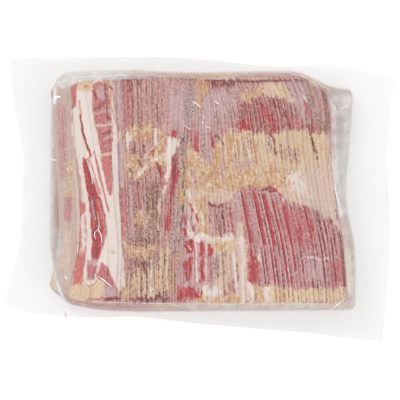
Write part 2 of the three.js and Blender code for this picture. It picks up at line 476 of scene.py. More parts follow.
def distance_to(path: tuple[tuple[float, float], ...], x: Plan, y: Plan) -> Plan:
    """The distance of points to a path of straight stretches.

    Args:
        path: The path's corners.
        x: Positions.
        y: Positions.

    Returns:
        The shortest distance of each point.
    """
    best = np.full(x.shape, 1e9)
    for (ax, ay), (bx, by) in zip(path, path[1:]):
        dx, dy = bx - ax, by - ay
        share = np.clip(((x - ax) * dx + (y - ay) * dy) / max(dx * dx + dy * dy, 1e-9), 0, 1)
        best = np.minimum(best, np.hypot(x - ax - share * dx, y - ay - share * dy))
    return best


def box_around(points: tuple[tuple[float, float], ...], reach: float) -> tuple[float, float, float, float]:
    """The box around points, grown by a reach."""
    across = [point[0] for point in points]
    down = [point[1] for point in points]
    return min(across) - reach - 1, max(across) + reach + 1, min(down) - reach - 1, max(down) + reach + 1


def pairs(numbers: tuple[float, ...]) -> tuple[tuple[float, float], ...]:
    """Turn x, y, x, y and so on into points."""
    return tuple(zip(numbers[::2], numbers[1::2]))


def patch(value: Tissue | float, soft: float, *path: float) -> Patch:
    """An area of one tissue round a path, given as x, y, x, y and so on in photo units."""
    return Patch(value, soft, pairs(path))


def block(value: Tissue, soft: float, left: float, top: float, right: float, bottom: float) -> Patch:
    """An upright rectangular area of one tissue."""
    return patch(value, soft, left, top, right, top, right, bottom, left, bottom)


def streak(value: Tissue | float, width: float, *path: float) -> Streak:
    """A stroke of one tissue along a path."""
    return Streak(value, width, pairs(path))


def streaks(value: Tissue | float, width: float, *paths: tuple[float, ...]) -> tuple[Streak, ...]:
    """Several strokes of one tissue and width."""
    return tuple(streak(value, width, *path) for path in paths)


T = Tissue

# Broad areas of lean and fat. Later marks lie over earlier ones.
BROAD_AREAS = (
    patch(T.BEIGE, 1.5, 44, 62, 79, 62, 72, 110, 73, 130, 78, 150, 84, 190, 87, 220, 84, 262, 72, 290, 70,
          320, 44, 320),
    patch(T.WHITE, 1.0, 77, 88, 95, 80, 119, 80, 122, 147, 120, 200, 124, 262, 126, 288, 100, 300, 71, 300,
          75, 262, 84, 240, 83, 190, 72, 130, 72, 110),
    patch(T.MAUVE, 1.5, 116, 66, 192, 66, 186, 90, 184, 132, 150, 136, 121, 132),
    block(T.MARBLED, 1.5, 122, 130, 179, 185),
    patch(T.MAUVE, 1.5, 119, 180, 184, 180, 182, 250, 122, 252),
    patch(T.SPECKLED, 2.0, 126, 186, 136, 182, 160, 182, 162, 246, 128, 250),
    patch(T.MAUVE, 1.5, 121, 247, 172, 247, 172, 300, 124, 300),
    patch(T.STREAKY, 3.0, 127, 274, 140, 269, 156, 264, 164, 252, 172, 252, 172, 300, 128, 300),
    patch(T.PEPPERED, 1.5, 178, 128, 187, 128, 184, 190, 180, 250, 174, 300, 171, 300, 176, 200),
    patch(T.CREAM, 1.5, 184, 183, 190, 120, 212, 147, 228, 134, 250, 134, 280, 128, 307, 127, 316, 130, 330,
          134, 333, 190, 340, 232, 315, 213, 285, 205, 262, 196, 250, 188, 238, 190, 225, 205, 200, 200),
    patch(T.CRUMB, 2.0, 184, 160, 206, 150, 240, 158, 262, 170, 300, 168, 300, 186, 262, 192, 245, 186, 235,
          204, 190, 206),
    patch(T.PALE, 4.0, 276, 190, 333, 186, 340, 230, 300, 208),
)

# The lean along the back of the pack.
TOP_LEAN = (
    patch(T.MAUVE, 1.5, 186, 70, 330, 70, 334, 120, 330, 134, 316, 130, 307, 128, 280, 128, 272, 135, 250,
          134, 228, 134, 213, 147, 200, 146, 190, 150, 184, 130),
    patch(T.LILAC, 2.0, 209, 92, 226, 86, 240, 100, 224, 116, 204, 116, 203, 100),
    patch(T.DEEP, 2.4, 212, 81, 238, 81, 234, 86, 214, 88),
    block(T.PEPPERED, 1.8, 226, 86.5, 238, 97.5),
    patch(T.LILAC, 1.8, 288, 81, 306, 81, 310, 100, 306, 124, 296, 110, 292, 96),
    patch(T.PALE, 1.4, 260, 85, 284, 84, 296, 103, 288, 104, 266, 98),
    patch(T.CREAM, 1.6, 268, 86, 284, 87, 292, 100, 280, 99),
    patch(T.CRUMB, 3.0, 240, 92, 262, 87, 264, 99, 242, 103),
    patch(T.SPECKLED, 1.8, 306, 82, 320, 84, 331, 104, 329, 134, 318, 134, 310, 110),
    patch(T.LEAN, 2.4, 312, 84, 322, 90, 326, 118, 318, 112),
    patch(T.FANNED, 2.0, 236, 118, 241, 103, 262, 96, 280, 98, 298, 111, 302, 128, 274, 135, 250, 136, 238,
          134),
    patch(T.RED, 2.4, 238, 122, 246, 120, 256, 126, 256, 133, 246, 135, 240, 132),
    patch(T.ROSE, 2.4, 276, 118, 300, 118, 302, 127, 280, 127),
    patch(T.TAN, 1.8, 195, 79, 210, 79, 208, 88, 203, 96, 199, 106, 196, 96),
    patch(T.PEPPERED, 1.6, 183, 84, 193, 82, 196, 118, 190, 130, 184, 128),
    patch(T.ROSE, 1.6, 189, 130, 196, 124, 199, 132, 199, 154, 194, 150),
    patch(T.LILAC, 1.4, 198, 110, 208, 110, 211, 135, 213, 158, 208, 166, 203, 160, 199, 140),
    streak(T.RED, 6.5, 264, 106, 268, 116, 274, 129),
    streak(T.RED, 2.4, 242, 106, 246, 117, 250, 128),
    streak(T.RED, 1.8, 255, 101, 258, 112, 262, 127),
    *streaks(T.DEEP, 1.8, (281, 106, 286, 117, 290, 128), (306, 106, 311, 120, 313, 130)),
    streak(T.RED, 5.2, 304.5, 103, 309, 116, 313.5, 129),
    streak(T.DEEP, 3.2, 308, 126, 312, 138, 316.5, 152),
    streak(T.PEPPERED, 2.4, 316, 152, 321, 176),
    *streaks(T.BROWN, 1.3, (213, 112, 220, 125), (223, 103, 230, 116)),
    streak(T.ROSE, 2.4, 217, 124, 226, 138),
    streak(T.PEPPERED, 4.2, 204, 144, 206, 158),
    *streaks(T.RED, 3.2, (195, 137, 197, 149), (211, 133, 213, 149)),
)

# The broad band of crumbly fat through the middle.
FAT_BAND = (
    patch(T.RIND, 3.0, 222, 136, 232, 131, 268, 134, 268, 158, 226, 160),
    patch(T.STREAKY, 3.0, 281, 150, 299, 150, 300, 162, 284, 163),
    block(T.LILAC, 3.0, 241, 161.5, 253, 170.5),
    patch(T.PALE, 6.0, 292, 172, 331, 166, 334, 190, 300, 192),
    patch(T.WHITE, 4.0, 286, 176, 300, 172, 310, 196, 296, 194),
    block(T.WHITE, 1.6, 186.5, 190, 192.5, 199.5),
    patch(T.RED, 1.2, 258, 188, 266, 185, 275, 188, 283, 195, 280, 198, 270, 193, 262, 191),
    *streaks(T.DEEP, 1.8, (215, 138, 223, 143), (261, 189, 270, 188, 277, 193)),
    *streaks(T.TAN, 2.4, (216, 148, 216.5, 166), (220, 150, 219, 164), (251, 140, 252, 152)),
    streak(T.TAN, 5.2, 229, 137, 231, 158),
    *streaks(T.TAN, 3.2, (238, 140, 239, 156), (256, 142, 257, 162)),
    streak(T.TAN, 4.2, 271, 164, 272, 174),
    streak(T.LILAC, 3.2, 223, 146, 223.5, 184),
    streak(T.LILAC, 2.4, 234, 154, 235, 172),
    *streaks(T.LILAC, 1.8, (244, 142, 245, 160), (275.5, 154, 276, 172), (327, 135, 328.5, 165)),
    *streaks(T.PEPPERED, 2.4, (247, 136, 249, 148), (286, 130, 289, 151)),
    streak(T.PEPPERED, 4.2, 268, 133, 271, 150),
    streak(T.DEEP, 2.4, 270, 132, 274, 142, 275.5, 154),
    streak(T.PEPPERED, 1.8, 281, 143, 282, 158),
    streak(T.LILAC, 4.2, 192, 172, 197, 184),
    # Painted highlight on the red flake.
    streak(T.WHITE, 1.8, 274, 191, 278, 194),
    streak(T.PALE, 3.2, 284, 199, 290, 206),
)

# The lean at the front right.
LOWER_LEAN = (
    patch(T.STRIPED, 1.4, 237, 192, 245, 187, 256, 186, 264, 192, 276, 193, 288, 203, 306, 205, 320, 214,
          330, 222, 338, 231, 343, 250, 345, 288, 250, 286, 252, 250, 244, 205),
    patch(T.ROSE, 3.0, 280, 208, 306, 210, 314, 226, 312, 246, 290, 244, 280, 228),
    patch(T.ROSE, 3.0, 326, 262, 342, 258, 344, 284, 332, 286),
    block(T.LILAC, 3.0, 305, 261.5, 326.5, 281.5),
    patch(T.LILAC, 1.6, 262, 192, 276, 195, 276, 210, 270, 214),
    patch(T.LILAC, 1.6, 252, 205, 258, 204, 268, 244, 262, 246),
    block(T.RED, 1.4, 248.5, 262.5, 257.75, 282.5),
    streak(T.ROSE, 5.2, 240, 194, 248, 190, 256, 190),
    streak(T.RED, 5.2, 252, 251, 253, 260),
    streak(T.WHITE, 2.4, 259, 250, 260, 258),
    streak(T.RED, 4.2, 299, 226, 301, 246),
    *streaks(T.RED, 3.2, (310, 222, 313, 234), (311, 243, 314, 254)),
    *streaks(T.DEEP, 1.8, (315, 212, 317, 221), (329, 216, 331, 225), (336.5, 211, 338, 219),
             (314.5, 263, 315.5, 271)),
    # Painted highlight: a line of small glints across the lean.
    streak(T.WHITE, 1.3, 303, 258.5, 340, 258.5),
)

# The fat along the front, and the white streaks beside the lean.
LOWER_FAT = (
    patch(T.CREAM, 1.4, 201, 296, 222, 296, 240, 296, 240, 303, 188, 303),
    patch(T.RIND, 1.4, 243, 282, 247, 285, 262, 285, 280, 286, 300, 289, 345, 289, 346, 303, 243, 303),
    patch(T.WHITE, 1.2, 236, 284, 248, 282, 254, 286, 252, 303, 240, 303),
    block(T.WHITE, 1.2, 263.5, 284.5, 270.5, 300),
    block(T.LILAC, 1.2, 235.5, 193.5, 240.5, 226),
    patch(T.PALE, 0.7, 236.5, 222, 241.5, 222, 247, 250, 247, 284, 252, 301, 239, 301, 238, 262),
    streak(T.WHITE, 3.2, 240.5, 238, 243.5, 262, 244, 298),
    *streaks(T.TAN, 1.8, (256.5, 287, 257, 300), (262, 288, 263, 300), (275, 290, 277, 301)),
    *streaks(T.TAN, 3.2, (281, 289, 284, 300), (198, 297, 202, 301), (215, 299, 222, 301),
             (228, 300, 239, 300.5)),
)

# The mixed part in front of the band, right of the groove.
LOWER_LEFT = (
    patch(T.PALE, 2.0, 182, 190, 236, 192, 238, 240, 236, 286, 206, 296, 182, 296, 180, 250),
    block(T.CRUMB, 3.0, 195, 195, 209, 236),
    patch(T.MAUVE, 2.6, 208, 205, 236, 202, 238, 237, 211, 240),
    patch(T.LILAC, 2.0, 180, 210, 190, 214, 206, 246, 214, 256, 214, 290, 181, 296),
    patch(T.RED, 1.0, 185, 240, 191, 239, 194, 246, 194, 254, 191, 258, 187, 257, 184.5, 248),
    patch(T.RED, 1.4, 184.5, 260, 192, 260, 193, 268, 190, 281, 185, 280),
    patch(T.RED, 1.2, 198.5, 240, 204, 241, 205, 252, 203.5, 256, 199, 255),
    block(T.RED, 1.8, 199.5, 257, 204, 282),
    block(T.RED, 1.2, 208.5, 241.5, 213, 256),
    block(T.ROSE, 2.0, 208.5, 257, 213, 282),
    patch(T.CREAM, 1.6, 213, 240, 234, 239, 236, 256, 216, 257),
    patch(T.TAN, 1.2, 216, 244, 227, 244, 224, 249, 219, 249),
    block(T.PEPPERED, 2.4, 213.5, 253.5, 224.5, 276.5),
    block(T.MAUVE, 1.6, 227, 282, 237.5, 296.5),
    patch(T.WHITE, 2.4, 188, 231, 198, 233, 214, 236, 232, 237, 232, 241, 206, 241, 190, 239),
    block(T.WHITE, 2.2, 200.5, 287, 223, 297.5),
    patch(T.RED, 2.0, 180, 289, 199, 289, 203, 294, 198, 300, 180, 301),
    patch(T.CRUMB, 2.0, 181, 160, 187, 176, 187, 205, 180, 205),
    *streaks(T.DEEP, 1.3, (216, 215, 218, 226, 221, 237), (221, 214, 224, 226, 226, 236)),
    streak(T.RED, 1.8, 229.5, 208, 231, 222, 233, 237),
    streak(T.CREAM, 1.8, 220, 258, 220.5, 290),
    *streaks(T.MAUVE, 1.3, (223.5, 256, 224, 288), (230, 258, 231, 290)),
    streak(T.CREAM, 2.4, 227, 256, 228, 292),
    streak(T.WHITE, 2.4, 234, 254, 236, 290),
    streak(T.TAN, 3.2, 205, 226, 207.5, 231),
    streak(T.TAN, 2.4, 214, 232, 218, 235),
    streak(T.SALMON, 4.2, 183, 292, 184, 298),
    streak(T.TAN, 4.2, 182, 190, 181, 202),
)

# The run of slices left of the groove.
LEFT_STACK = (
    patch(T.LILAC, 1.4, 112, 82, 121, 80, 123, 128, 117, 130),
    patch(T.ROSE, 1.8, 121, 82, 130, 82, 131, 128, 124, 128),
    block(T.DEEP, 2.0, 124, 75.5, 142, 81.5),
    patch(T.LILAC, 2.0, 170, 96, 183, 92, 184, 122, 170, 124),
    patch(T.CRUMB, 2.0, 128, 128, 134, 124, 138, 128, 136, 140, 130, 146),
    patch(T.WHITE, 1.0, 126, 142, 128, 135, 132, 136, 131, 144, 127, 150),
    patch(T.CRUMB, 2.2, 140, 126, 151, 126, 152, 135, 146, 140, 141, 137),
    patch(T.WHITE, 1.2, 154, 131, 158, 131, 157, 146, 155, 146),
    patch(T.CRUMB, 2.0, 158, 128, 164, 128, 164, 146, 158, 152),
    patch(T.LILAC, 2.0, 120, 144, 126, 144, 126, 178, 120, 182),
    patch(T.CRUMB, 2.2, 124, 150, 130, 154, 138, 154, 140, 163, 132, 168, 130, 174, 124, 168),
    block(T.MAUVE, 2.0, 130.5, 142, 140.5, 155),
    block(T.RED, 2.2, 149.5, 151, 156, 159),
    patch(T.CREAM, 1.6, 150, 160, 154, 154, 164, 154, 168, 161, 160, 164, 153, 166),
    patch(T.CREAM, 1.2, 134, 178, 137, 172, 145, 164, 150, 166, 143, 175, 136, 181),
    patch(T.MAUVE, 3.0, 142, 174, 160, 170, 162, 186, 142, 188),
    patch(T.WHITE, 1.0, 168, 139, 178, 132, 179, 142, 174, 152, 171, 166, 168, 180, 166, 196, 162, 198, 164,
          184, 166, 168),
    patch(T.RED, 1.6, 170, 129, 175, 126, 178, 130, 176, 135, 171, 136),
    patch(T.LILAC, 1.4, 165, 130, 171, 124, 180, 123, 181, 127, 174, 126, 169, 134),
    patch(T.RED, 1.2, 173, 154, 178, 153, 177.5, 180, 174, 200, 171, 224, 167, 236, 164, 232, 167, 214, 170,
          196, 171, 176),
    patch(T.ROSE, 1.8, 120, 186, 127, 188, 128, 232, 122, 236),
    patch(T.LILAC, 1.6, 128, 188, 132, 188, 135, 240, 130, 240),
    block(T.ROSE, 2.6, 136.5, 186, 141.5, 212),
    block(T.BROWN, 4.0, 149.5, 184, 158.5, 222),
    block(T.CRUMB, 4.0, 137.5, 213, 146, 223),
    patch(T.PEPPERED, 2.0, 174, 200, 181, 202, 180, 248, 170, 250),
    patch(T.CRUMB, 2.6, 126, 247, 138, 245, 155, 249, 152, 258, 130, 259),
    patch(T.SPECKLED, 3.0, 128, 259, 160, 256, 160, 268, 130, 270),
    block(T.CRUMB, 2.2, 121, 284, 128, 300),
    block(T.DEEP, 1.6, 133.5, 297, 169, 302),
    streak(T.DEEP, 2.4, 130.5, 83, 131, 91),
    *streaks(T.BROWN, 1.0, (131, 91, 133, 126), (136, 83, 138, 104, 141, 128), (152, 90, 154, 122)),
    *streaks(T.DEEP, 1.8, (157.5, 108, 158.5, 120), (143.5, 143, 143.5, 152),
             (175, 156, 174, 180, 171, 206), (136, 226, 141, 230)),
    streak(T.PEPPERED, 1.8, 169, 82, 169, 120),
    *streaks(T.PALE, 3.2, (144, 158, 152, 150), (120, 240, 127, 247)),
    streak(T.RED, 5.2, 158, 165, 162, 175),
    streak(T.ROSE, 5.2, 161, 178, 164, 186),
    *streaks(T.LILAC, 2.4, (164, 196, 163, 222, 160, 244), (144, 186, 145, 236)),
    streak(T.PALE, 1.8, 160, 200, 158, 232),
    streak(T.PALE, 1.3, 119, 222, 126, 232),
    streak(T.TAN, 4.2, 139, 218, 140, 228),
    streak(T.DEEP, 4.2, 144, 264, 146, 274),
    streak(T.DEEP, 3.2, 120.5, 268, 122, 282),
    streak(T.CREAM, 1.8, 134, 274, 134.5, 297),
    streak(T.WHITE, 1.8, 151, 262, 150, 296),
    streak(T.CREAM, 3.2, 162, 250, 160.5, 290),
    streak(T.CREAM, 2.4, 168, 250, 166, 292),
    streak(T.TAN, 2.4, 175.5, 252, 174, 276, 170, 294),
)

# The broad slices at the left, which lie face up.
FLAT_SLICES = (
    patch(T.LEAN, 2.4, 56, 104, 67, 104, 68, 176, 60, 180),
    block(T.ROSE, 3.0, 58.5, 132, 65, 148),
    streak(T.ROSE, 3.2, 70, 84, 74, 96, 75, 108),
    block(T.CRUMB, 2.0, 65.5, 162, 73, 197),
    block(T.ROSE, 1.2, 64.5, 196.5, 72, 221.5),
    block(T.PALE, 3.0, 65, 230, 70.5, 284),
    streak(T.PALE, 3.2, 74, 160, 78, 200, 79, 240),
    patch(T.MILK, 1.6, 51, 224, 56, 226, 62, 242, 60, 258, 52, 262),
    patch(T.SALMON, 1.2, 80, 200, 87, 204, 88, 240, 85, 262, 82, 286, 72, 292, 75, 262, 79, 238),
    patch(T.WHITE, 2.5, 80, 216, 85, 214, 86, 246, 82, 256),
    streak(T.SALMON, 4.2, 73, 80, 75, 96, 74, 108),
    patch(T.WHITE, 1.0, 73, 110, 79, 102, 80, 130, 86, 158, 89, 190, 92, 222, 91, 262, 86, 268, 87, 222, 83,
          190, 76, 150, 72, 130),
    streak(T.TAN, 1.8, 79.5, 102, 81.5, 116),
    streak(T.RED, 2.4, 80, 116, 83, 132, 87, 145, 91, 156),
    streak(T.DEEP, 1.3, 82, 124, 83, 133, 88, 148),
    block(T.CREAM, 1.6, 78, 79, 92, 91),
    streak(T.TAN, 1.8, 84, 86, 90, 87),
    patch(T.RED, 1.0, 83, 158, 88, 158, 92, 176, 98, 190, 104, 208, 107, 230, 103, 246, 98, 262, 92, 262, 92,
          244, 91, 220, 88, 196, 84, 172),
    *streaks(T.DEEP, 1.8, (87, 162, 90, 178, 94, 196, 96, 214, 96, 232), (94, 232, 97, 246, 95, 262)),
    streak(T.ROSE, 3.2, 98, 200, 102, 214, 105, 232, 101, 246),
    streak(T.WHITE, 1.0, 87, 160, 91, 172, 93, 184),
    streak(T.SALMON, 1.8, 94, 152, 99, 172, 105, 195, 109, 212),
    streak(T.SALMON, 1.3, 89, 156, 95, 176, 100, 194),
    patch(T.ROSE, 1.0, 93, 84, 103, 82, 109, 84, 110, 100, 112, 120, 113, 140, 112, 160, 113, 190, 112, 199,
          108, 190, 103, 170, 100, 150, 98, 138, 94, 120, 92, 104),
    patch(T.SALMON, 1.4, 100, 157, 111, 157, 113, 190, 112, 200, 108, 188, 103, 170),
    block(T.LILAC, 1.4, 97, 86.5, 104.5, 99.5),
    streak(T.DEEP, 2.4, 93, 90, 97, 98),
    *streaks(T.DEEP, 1.8, (94, 111, 99, 107, 104, 103), (110, 87, 112.5, 90)),
    streak(T.LILAC, 3.2, 94, 113.5, 104, 111.5, 111, 110),
    *streaks(T.PALE, 3.2, (95, 125.5, 104, 125, 112, 123.5), (100, 156, 106, 154.5, 112, 153.5)),
    streak(T.PALE, 1.8, 104, 139, 109, 136, 113, 135),
    *streaks(T.DEEP, 1.3, (107, 116, 111, 119), (104, 133, 110, 130)),
    streak(T.TAN, 2.4, 96, 79, 106, 80, 112, 87),
    streak(T.TAN, 1.3, 111, 90, 110.5, 102, 114, 116, 118, 130, 120, 144),
    streak(T.MAUVE, 2.4, 113, 92, 116, 112, 119, 130),
    block(T.LILAC, 1.2, 117, 142, 123.5, 187),
    patch(T.WHITE, 1.0, 112, 142, 117, 142, 118, 190, 120, 232, 124, 266, 125, 287, 119, 285, 110, 268, 105,
          256, 109, 232, 110, 205, 113, 190),
    streak(T.CREAM, 2.4, 112, 251, 115, 253),
    block(T.LILAC, 1.2, 87, 260, 97.5, 268),
    patch(T.ROSE, 1.4, 88, 264, 97, 266, 94, 280, 86, 280),
    patch(T.ROSE, 1.0, 102, 262, 108, 266, 117, 289, 112, 290, 96, 276),
    patch(T.CREAM, 1.2, 68, 286, 78, 284, 90, 287, 98, 281, 105, 284, 108, 292, 104, 300, 70, 300),
    streak(T.TAN, 1.3, 78, 283, 82, 281, 87, 284, 90, 287, 94, 284, 98, 280),
    patch(T.LILAC, 1.2, 104, 285, 119, 289, 120, 296, 102, 297),
    streak(T.DEEP, 3.2, 103, 298.5, 119, 298.5),
    streak(T.ROSE, 2.4, 91, 299, 104, 298.5),
)

# What shows at the tops of the walls.
WALLS = (
    patch(T.MILK, 3.0, 56, 60, 126, 60, 134, 77, 79, 78, 60, 82),
    patch(T.MAUVE, 1.2, 132, 60, 190, 60, 190, 79, 150, 79),
    block(T.CRUMB, 2.4, 191, 68, 222, 79),
    block(T.TAN, 2.0, 194.5, 70, 211, 78),
    block(T.CREAM, 2.0, 220, 68.5, 236, 79),
    patch(T.LEAN, 1.2, 234, 60, 325, 60, 322, 84, 300, 78, 234, 79),
    block(T.BEIGE, 1.2, 60, 303.5, 346, 320),
    patch(T.CREAM, 2.4, 154, 304, 346, 304, 346, 320, 138, 320),
    patch(T.MAUVE, 1.2, 80, 303, 150, 303, 136, 313, 80, 313),
    patch(T.MILK, 1.2, 332, 88, 360, 88, 360, 310, 347, 310, 344, 240, 331, 135),
    streak(T.DEEP, 1.3, 160, 71, 176, 73),
)

STACK_MARBLING = BROAD_AREAS + TOP_LEAN + FAT_BAND + LOWER_LEFT + LOWER_LEAN + LOWER_FAT + LEFT_STACK

# Raw lean and painted shade show where a slice comes out from under its neighbour, along these creases.
RAW_AND_SHADED_SEAMS = (
    Seam(T.RED, 5.2, 247.0, 195, 243),
    Seam(T.RED, 4.4, 260.0, 193, 246),
    Seam(T.RED, 4.4, 268.5, 193, 247),
    Seam(T.RED, 1.8, 272.0, 250, 284),
    Seam(T.RED, 2.0, 279.0, 198, 284),
    Seam(T.RED, 3.2, 283.5, 205, 240),
    Seam(T.RED, 2.2, 291.0, 208, 270),
    Seam(T.RED, 2.6, 307.5, 206, 240),
    Seam(T.DEEP, 1.4, 322.0, 228, 284),
    Seam(T.DEEP, 1.4, 334.0, 238, 284),
)

# Milky film, where it bridges away from the meat along the walls. The number is how much it hides.
MILKY_WALLS = (
    patch(0.14, 4.0, 40, 66, 80, 66, 84, 110, 90, 200, 90, 240, 84, 308, 40, 308),
    patch(0.3, 4.0, 44, 216, 57, 222, 64, 244, 66, 264, 62, 292, 54, 304, 44, 270),
    patch(0.5, 2.5, 40, 92, 54, 96, 54, 250, 58, 280, 62, 302, 50, 300, 40, 250),
    patch(0.85, 3.0, 38, 270, 55, 274, 68, 304, 60, 316, 40, 312),
    patch(0.85, 3.0, 38, 80, 57, 74, 57, 104, 38, 110),
    patch(0.6, 12.0, 40, 50, 106, 50, 124, 90, 40, 90),
    patch(0.46, 12.0, 40, 50, 122, 50, 140, 90, 40, 90),
    patch(0.3, 14.0, 40, 50, 142, 50, 160, 90, 40, 90),
    patch(0.2, 16.0, 40, 50, 168, 50, 190, 90, 40, 90),
    patch(0.12, 8.0, 150, 50, 340, 50, 340, 90, 150, 90),
    patch(0.12, 6.0, 60, 296, 160, 296, 160, 320, 60, 320),
    patch(0.38, 12.0, 168, 290, 356, 290, 356, 326, 196, 326),
    patch(0.28, 14.0, 146, 290, 356, 290, 356, 326, 170, 326),
    patch(0.2, 16.0, 120, 290, 356, 290, 356, 326, 140, 326),
    patch(0.37, 4.0, 326, 88, 362, 84, 362, 320, 340, 320),
    patch(0.55, 9.0, 328, 92, 368, 92, 368, 202, 336, 224),
    streak(0.35, 5.0, 346, 298, 330, 310),
)

# Faint milky patches on the film over the top: painted sheen where the film shows soft reflections.
FILM_SHEEN_HAZE = (
    patch(0.1, 8.0, 166, 84, 206, 90, 236, 100, 222, 136, 190, 132, 168, 122),
    patch(0.09, 8.0, 284, 82, 322, 86, 326, 122, 300, 120),
    patch(0.09, 6.0, 112, 82, 124, 82, 124, 184, 116, 184),
    patch(0.08, 8.0, 286, 170, 334, 160, 340, 226, 300, 204),
)

# Small film creases painted white as glints, the highlights on the film's wrinkles and edges.
FILM_GLINTS = (
    streak(1.0, 2.6, 53, 97, 61, 97),
    streak(1.0, 2.0, 52.5, 101, 57, 98.5),
    *streaks(0.8, 1.2, (63, 81, 67, 81.5), (346, 298, 338, 304, 330, 310)),
    *streaks(0.9, 1.4, (50, 159, 57, 160.5), (67, 168, 69, 169)),
    streak(1.0, 1.6, 65, 276, 67, 279),
    *streaks(0.9, 0.9, (78.5, 243, 77.3, 254), (184, 125, 188, 128, 191, 130)),
    streak(1.0, 1.0, 98.6, 225, 98.4, 230, 101, 234, 102, 243),
    streak(1.0, 0.9, 98.4, 230, 95, 232, 94.6, 236, 96, 239),
    *streaks(1.0, 1.2, (98, 276, 105, 281, 112, 287), (192, 101, 197, 104, 201, 108),
             (214.5, 101.5, 219.5, 104.5)),
    *streaks(0.9, 1.0, (202.5, 115, 205, 119), (201.5, 121, 204, 124), (206, 126.5, 210, 128),
             (302.5, 94.5, 305, 99, 306.5, 103)),
    *streaks(0.8, 1.0, (322.5, 153.5, 324.5, 155.5), (331, 104, 337, 112, 344, 107, 352, 105)),
    streak(0.9, 1.2, 334, 182, 336.5, 195, 340, 208, 342.5, 218),
    streak(0.55, 1.0, 74, 78.6, 100, 76.4, 128, 75.6),
    streak(0.4, 0.6, 196, 79, 236, 79.2),
    streak(0.35, 0.6, 244, 79, 268, 79),
    *streaks(0.5, 0.7, (88, 301.6, 132, 302.8), (140, 303, 178, 303.8)),
    *streaks(0.3, 0.6, (196, 304, 236, 304.4), (262, 304.2, 320, 303.2)),
    streak(0.7, 1.0, 150, 292, 154, 288),
    *streaks(0.8, 0.9, (287.5, 267, 288.5, 272), (307, 232, 309, 236)),
)

# Faint folds of the sealed margin.
MARGIN_FOLDS = (
    streak(1.0, 1.0, 20, 66, 60, 82),
    *streaks(0.8, 1.0, (33, 62, 64, 74), (360, 286, 374, 287)),
    *streaks(0.7, 1.0, (318, 80, 352, 79, 376, 76), (322, 88, 350, 86, 384, 84)),
    *streaks(0.6, 1.0, (356, 100, 372, 98), (60, 300, 46, 308, 30, 312)),
    streak(0.9, 1.0, 346, 312, 336, 320, 328, 330),
    *streaks(0.5, 1.0, (18, 118, 44, 122), (22, 206, 46, 204), (100, 312, 96, 320), (190, 313, 194, 326),
             (260, 314, 268, 332)),
)

# Marks that run across slices and stay sharp, with painted shade as dark lines along the pack's top and right
# edges.
CRISP_MARKS = (
    *streaks(T.LILAC, 1.3, (92, 200, 95, 220), (95, 182, 99, 196), (98, 214, 100, 228)),
    *streaks(T.CREAM, 1.3, (138, 270, 140, 284, 139, 297), (143, 272, 145, 286, 144, 297),
             (148, 268, 149, 284, 148, 298), (155, 264, 156, 282, 154, 297)),
    *streaks(T.WHITE, 1.3, (194.5, 240, 196.5, 256), (196, 260, 197, 282), (206, 240, 206.5, 256),
             (206, 258, 206.5, 282), (188, 246, 191, 250)),
    # Painted shade: dark lines along the pack's top edge, round its top right corner and down its right edge,
    # among other deep marks.
    streak(T.DEEP, 0.7, 76, 78.5, 110, 77.2, 140, 77.2, 170, 78.8, 196, 80.2),
    *streaks(T.DEEP, 1.8, (205, 80.6, 236, 80.8),
             (296, 80.4, 306, 79.6, 315, 82, 322, 88, 326, 97, 330, 106), (133, 148, 133.5, 154),
             (138, 160, 141, 166)),
    *streaks(T.DEEP, 2.4, (232, 81, 258, 81.4, 290, 80.6), (340, 232, 342.6, 250, 345, 286),
             (208.5, 202.5, 212, 206, 218, 206.5, 222, 204), (157.5, 165, 160, 173)),
    streak(T.DEEP, 4.2, 318, 86, 324, 94, 328, 104),
    *streaks(T.DEEP, 1.3, (331, 105, 329, 117, 329.5, 130), (130, 169, 133, 174)),
    streak(T.RED, 1.3, 222, 204, 228, 203),
    streak(T.WHITE, 4.2, 187, 192, 190, 197),
    *streaks(T.WHITE, 2.4, (194, 205, 196, 212, 195, 222), (128.5, 138, 127.5, 146),
             (155.5, 132, 155.5, 144), (137, 177, 146, 167)),
    *streaks(T.WHITE, 1.8, (188, 222, 190, 229), (201, 212, 203, 224), (152, 161, 160, 158)),
    *streaks(T.RED, 2.4, (190, 204, 192, 211), (184.5, 216, 185.5, 223), (196.5, 215, 198, 221)),
    streak(T.RED, 3.2, 184.5, 229, 186, 236),
    streak(T.RED, 1.8, 193, 226, 193.5, 231),
    streak(T.PEPPER, 2.4, 182.4, 139.6, 182.6, 140.6),
    *streaks(T.PEPPER, 1.3, (184, 166, 183.6, 176), (182.6, 180, 182.8, 188), (184.6, 191, 184.2, 196),
             (180.4, 222, 180.6, 226), (179, 240, 179, 244)),
    streak(T.PEPPER, 1.8, 182.8, 206, 182.6, 212),
)


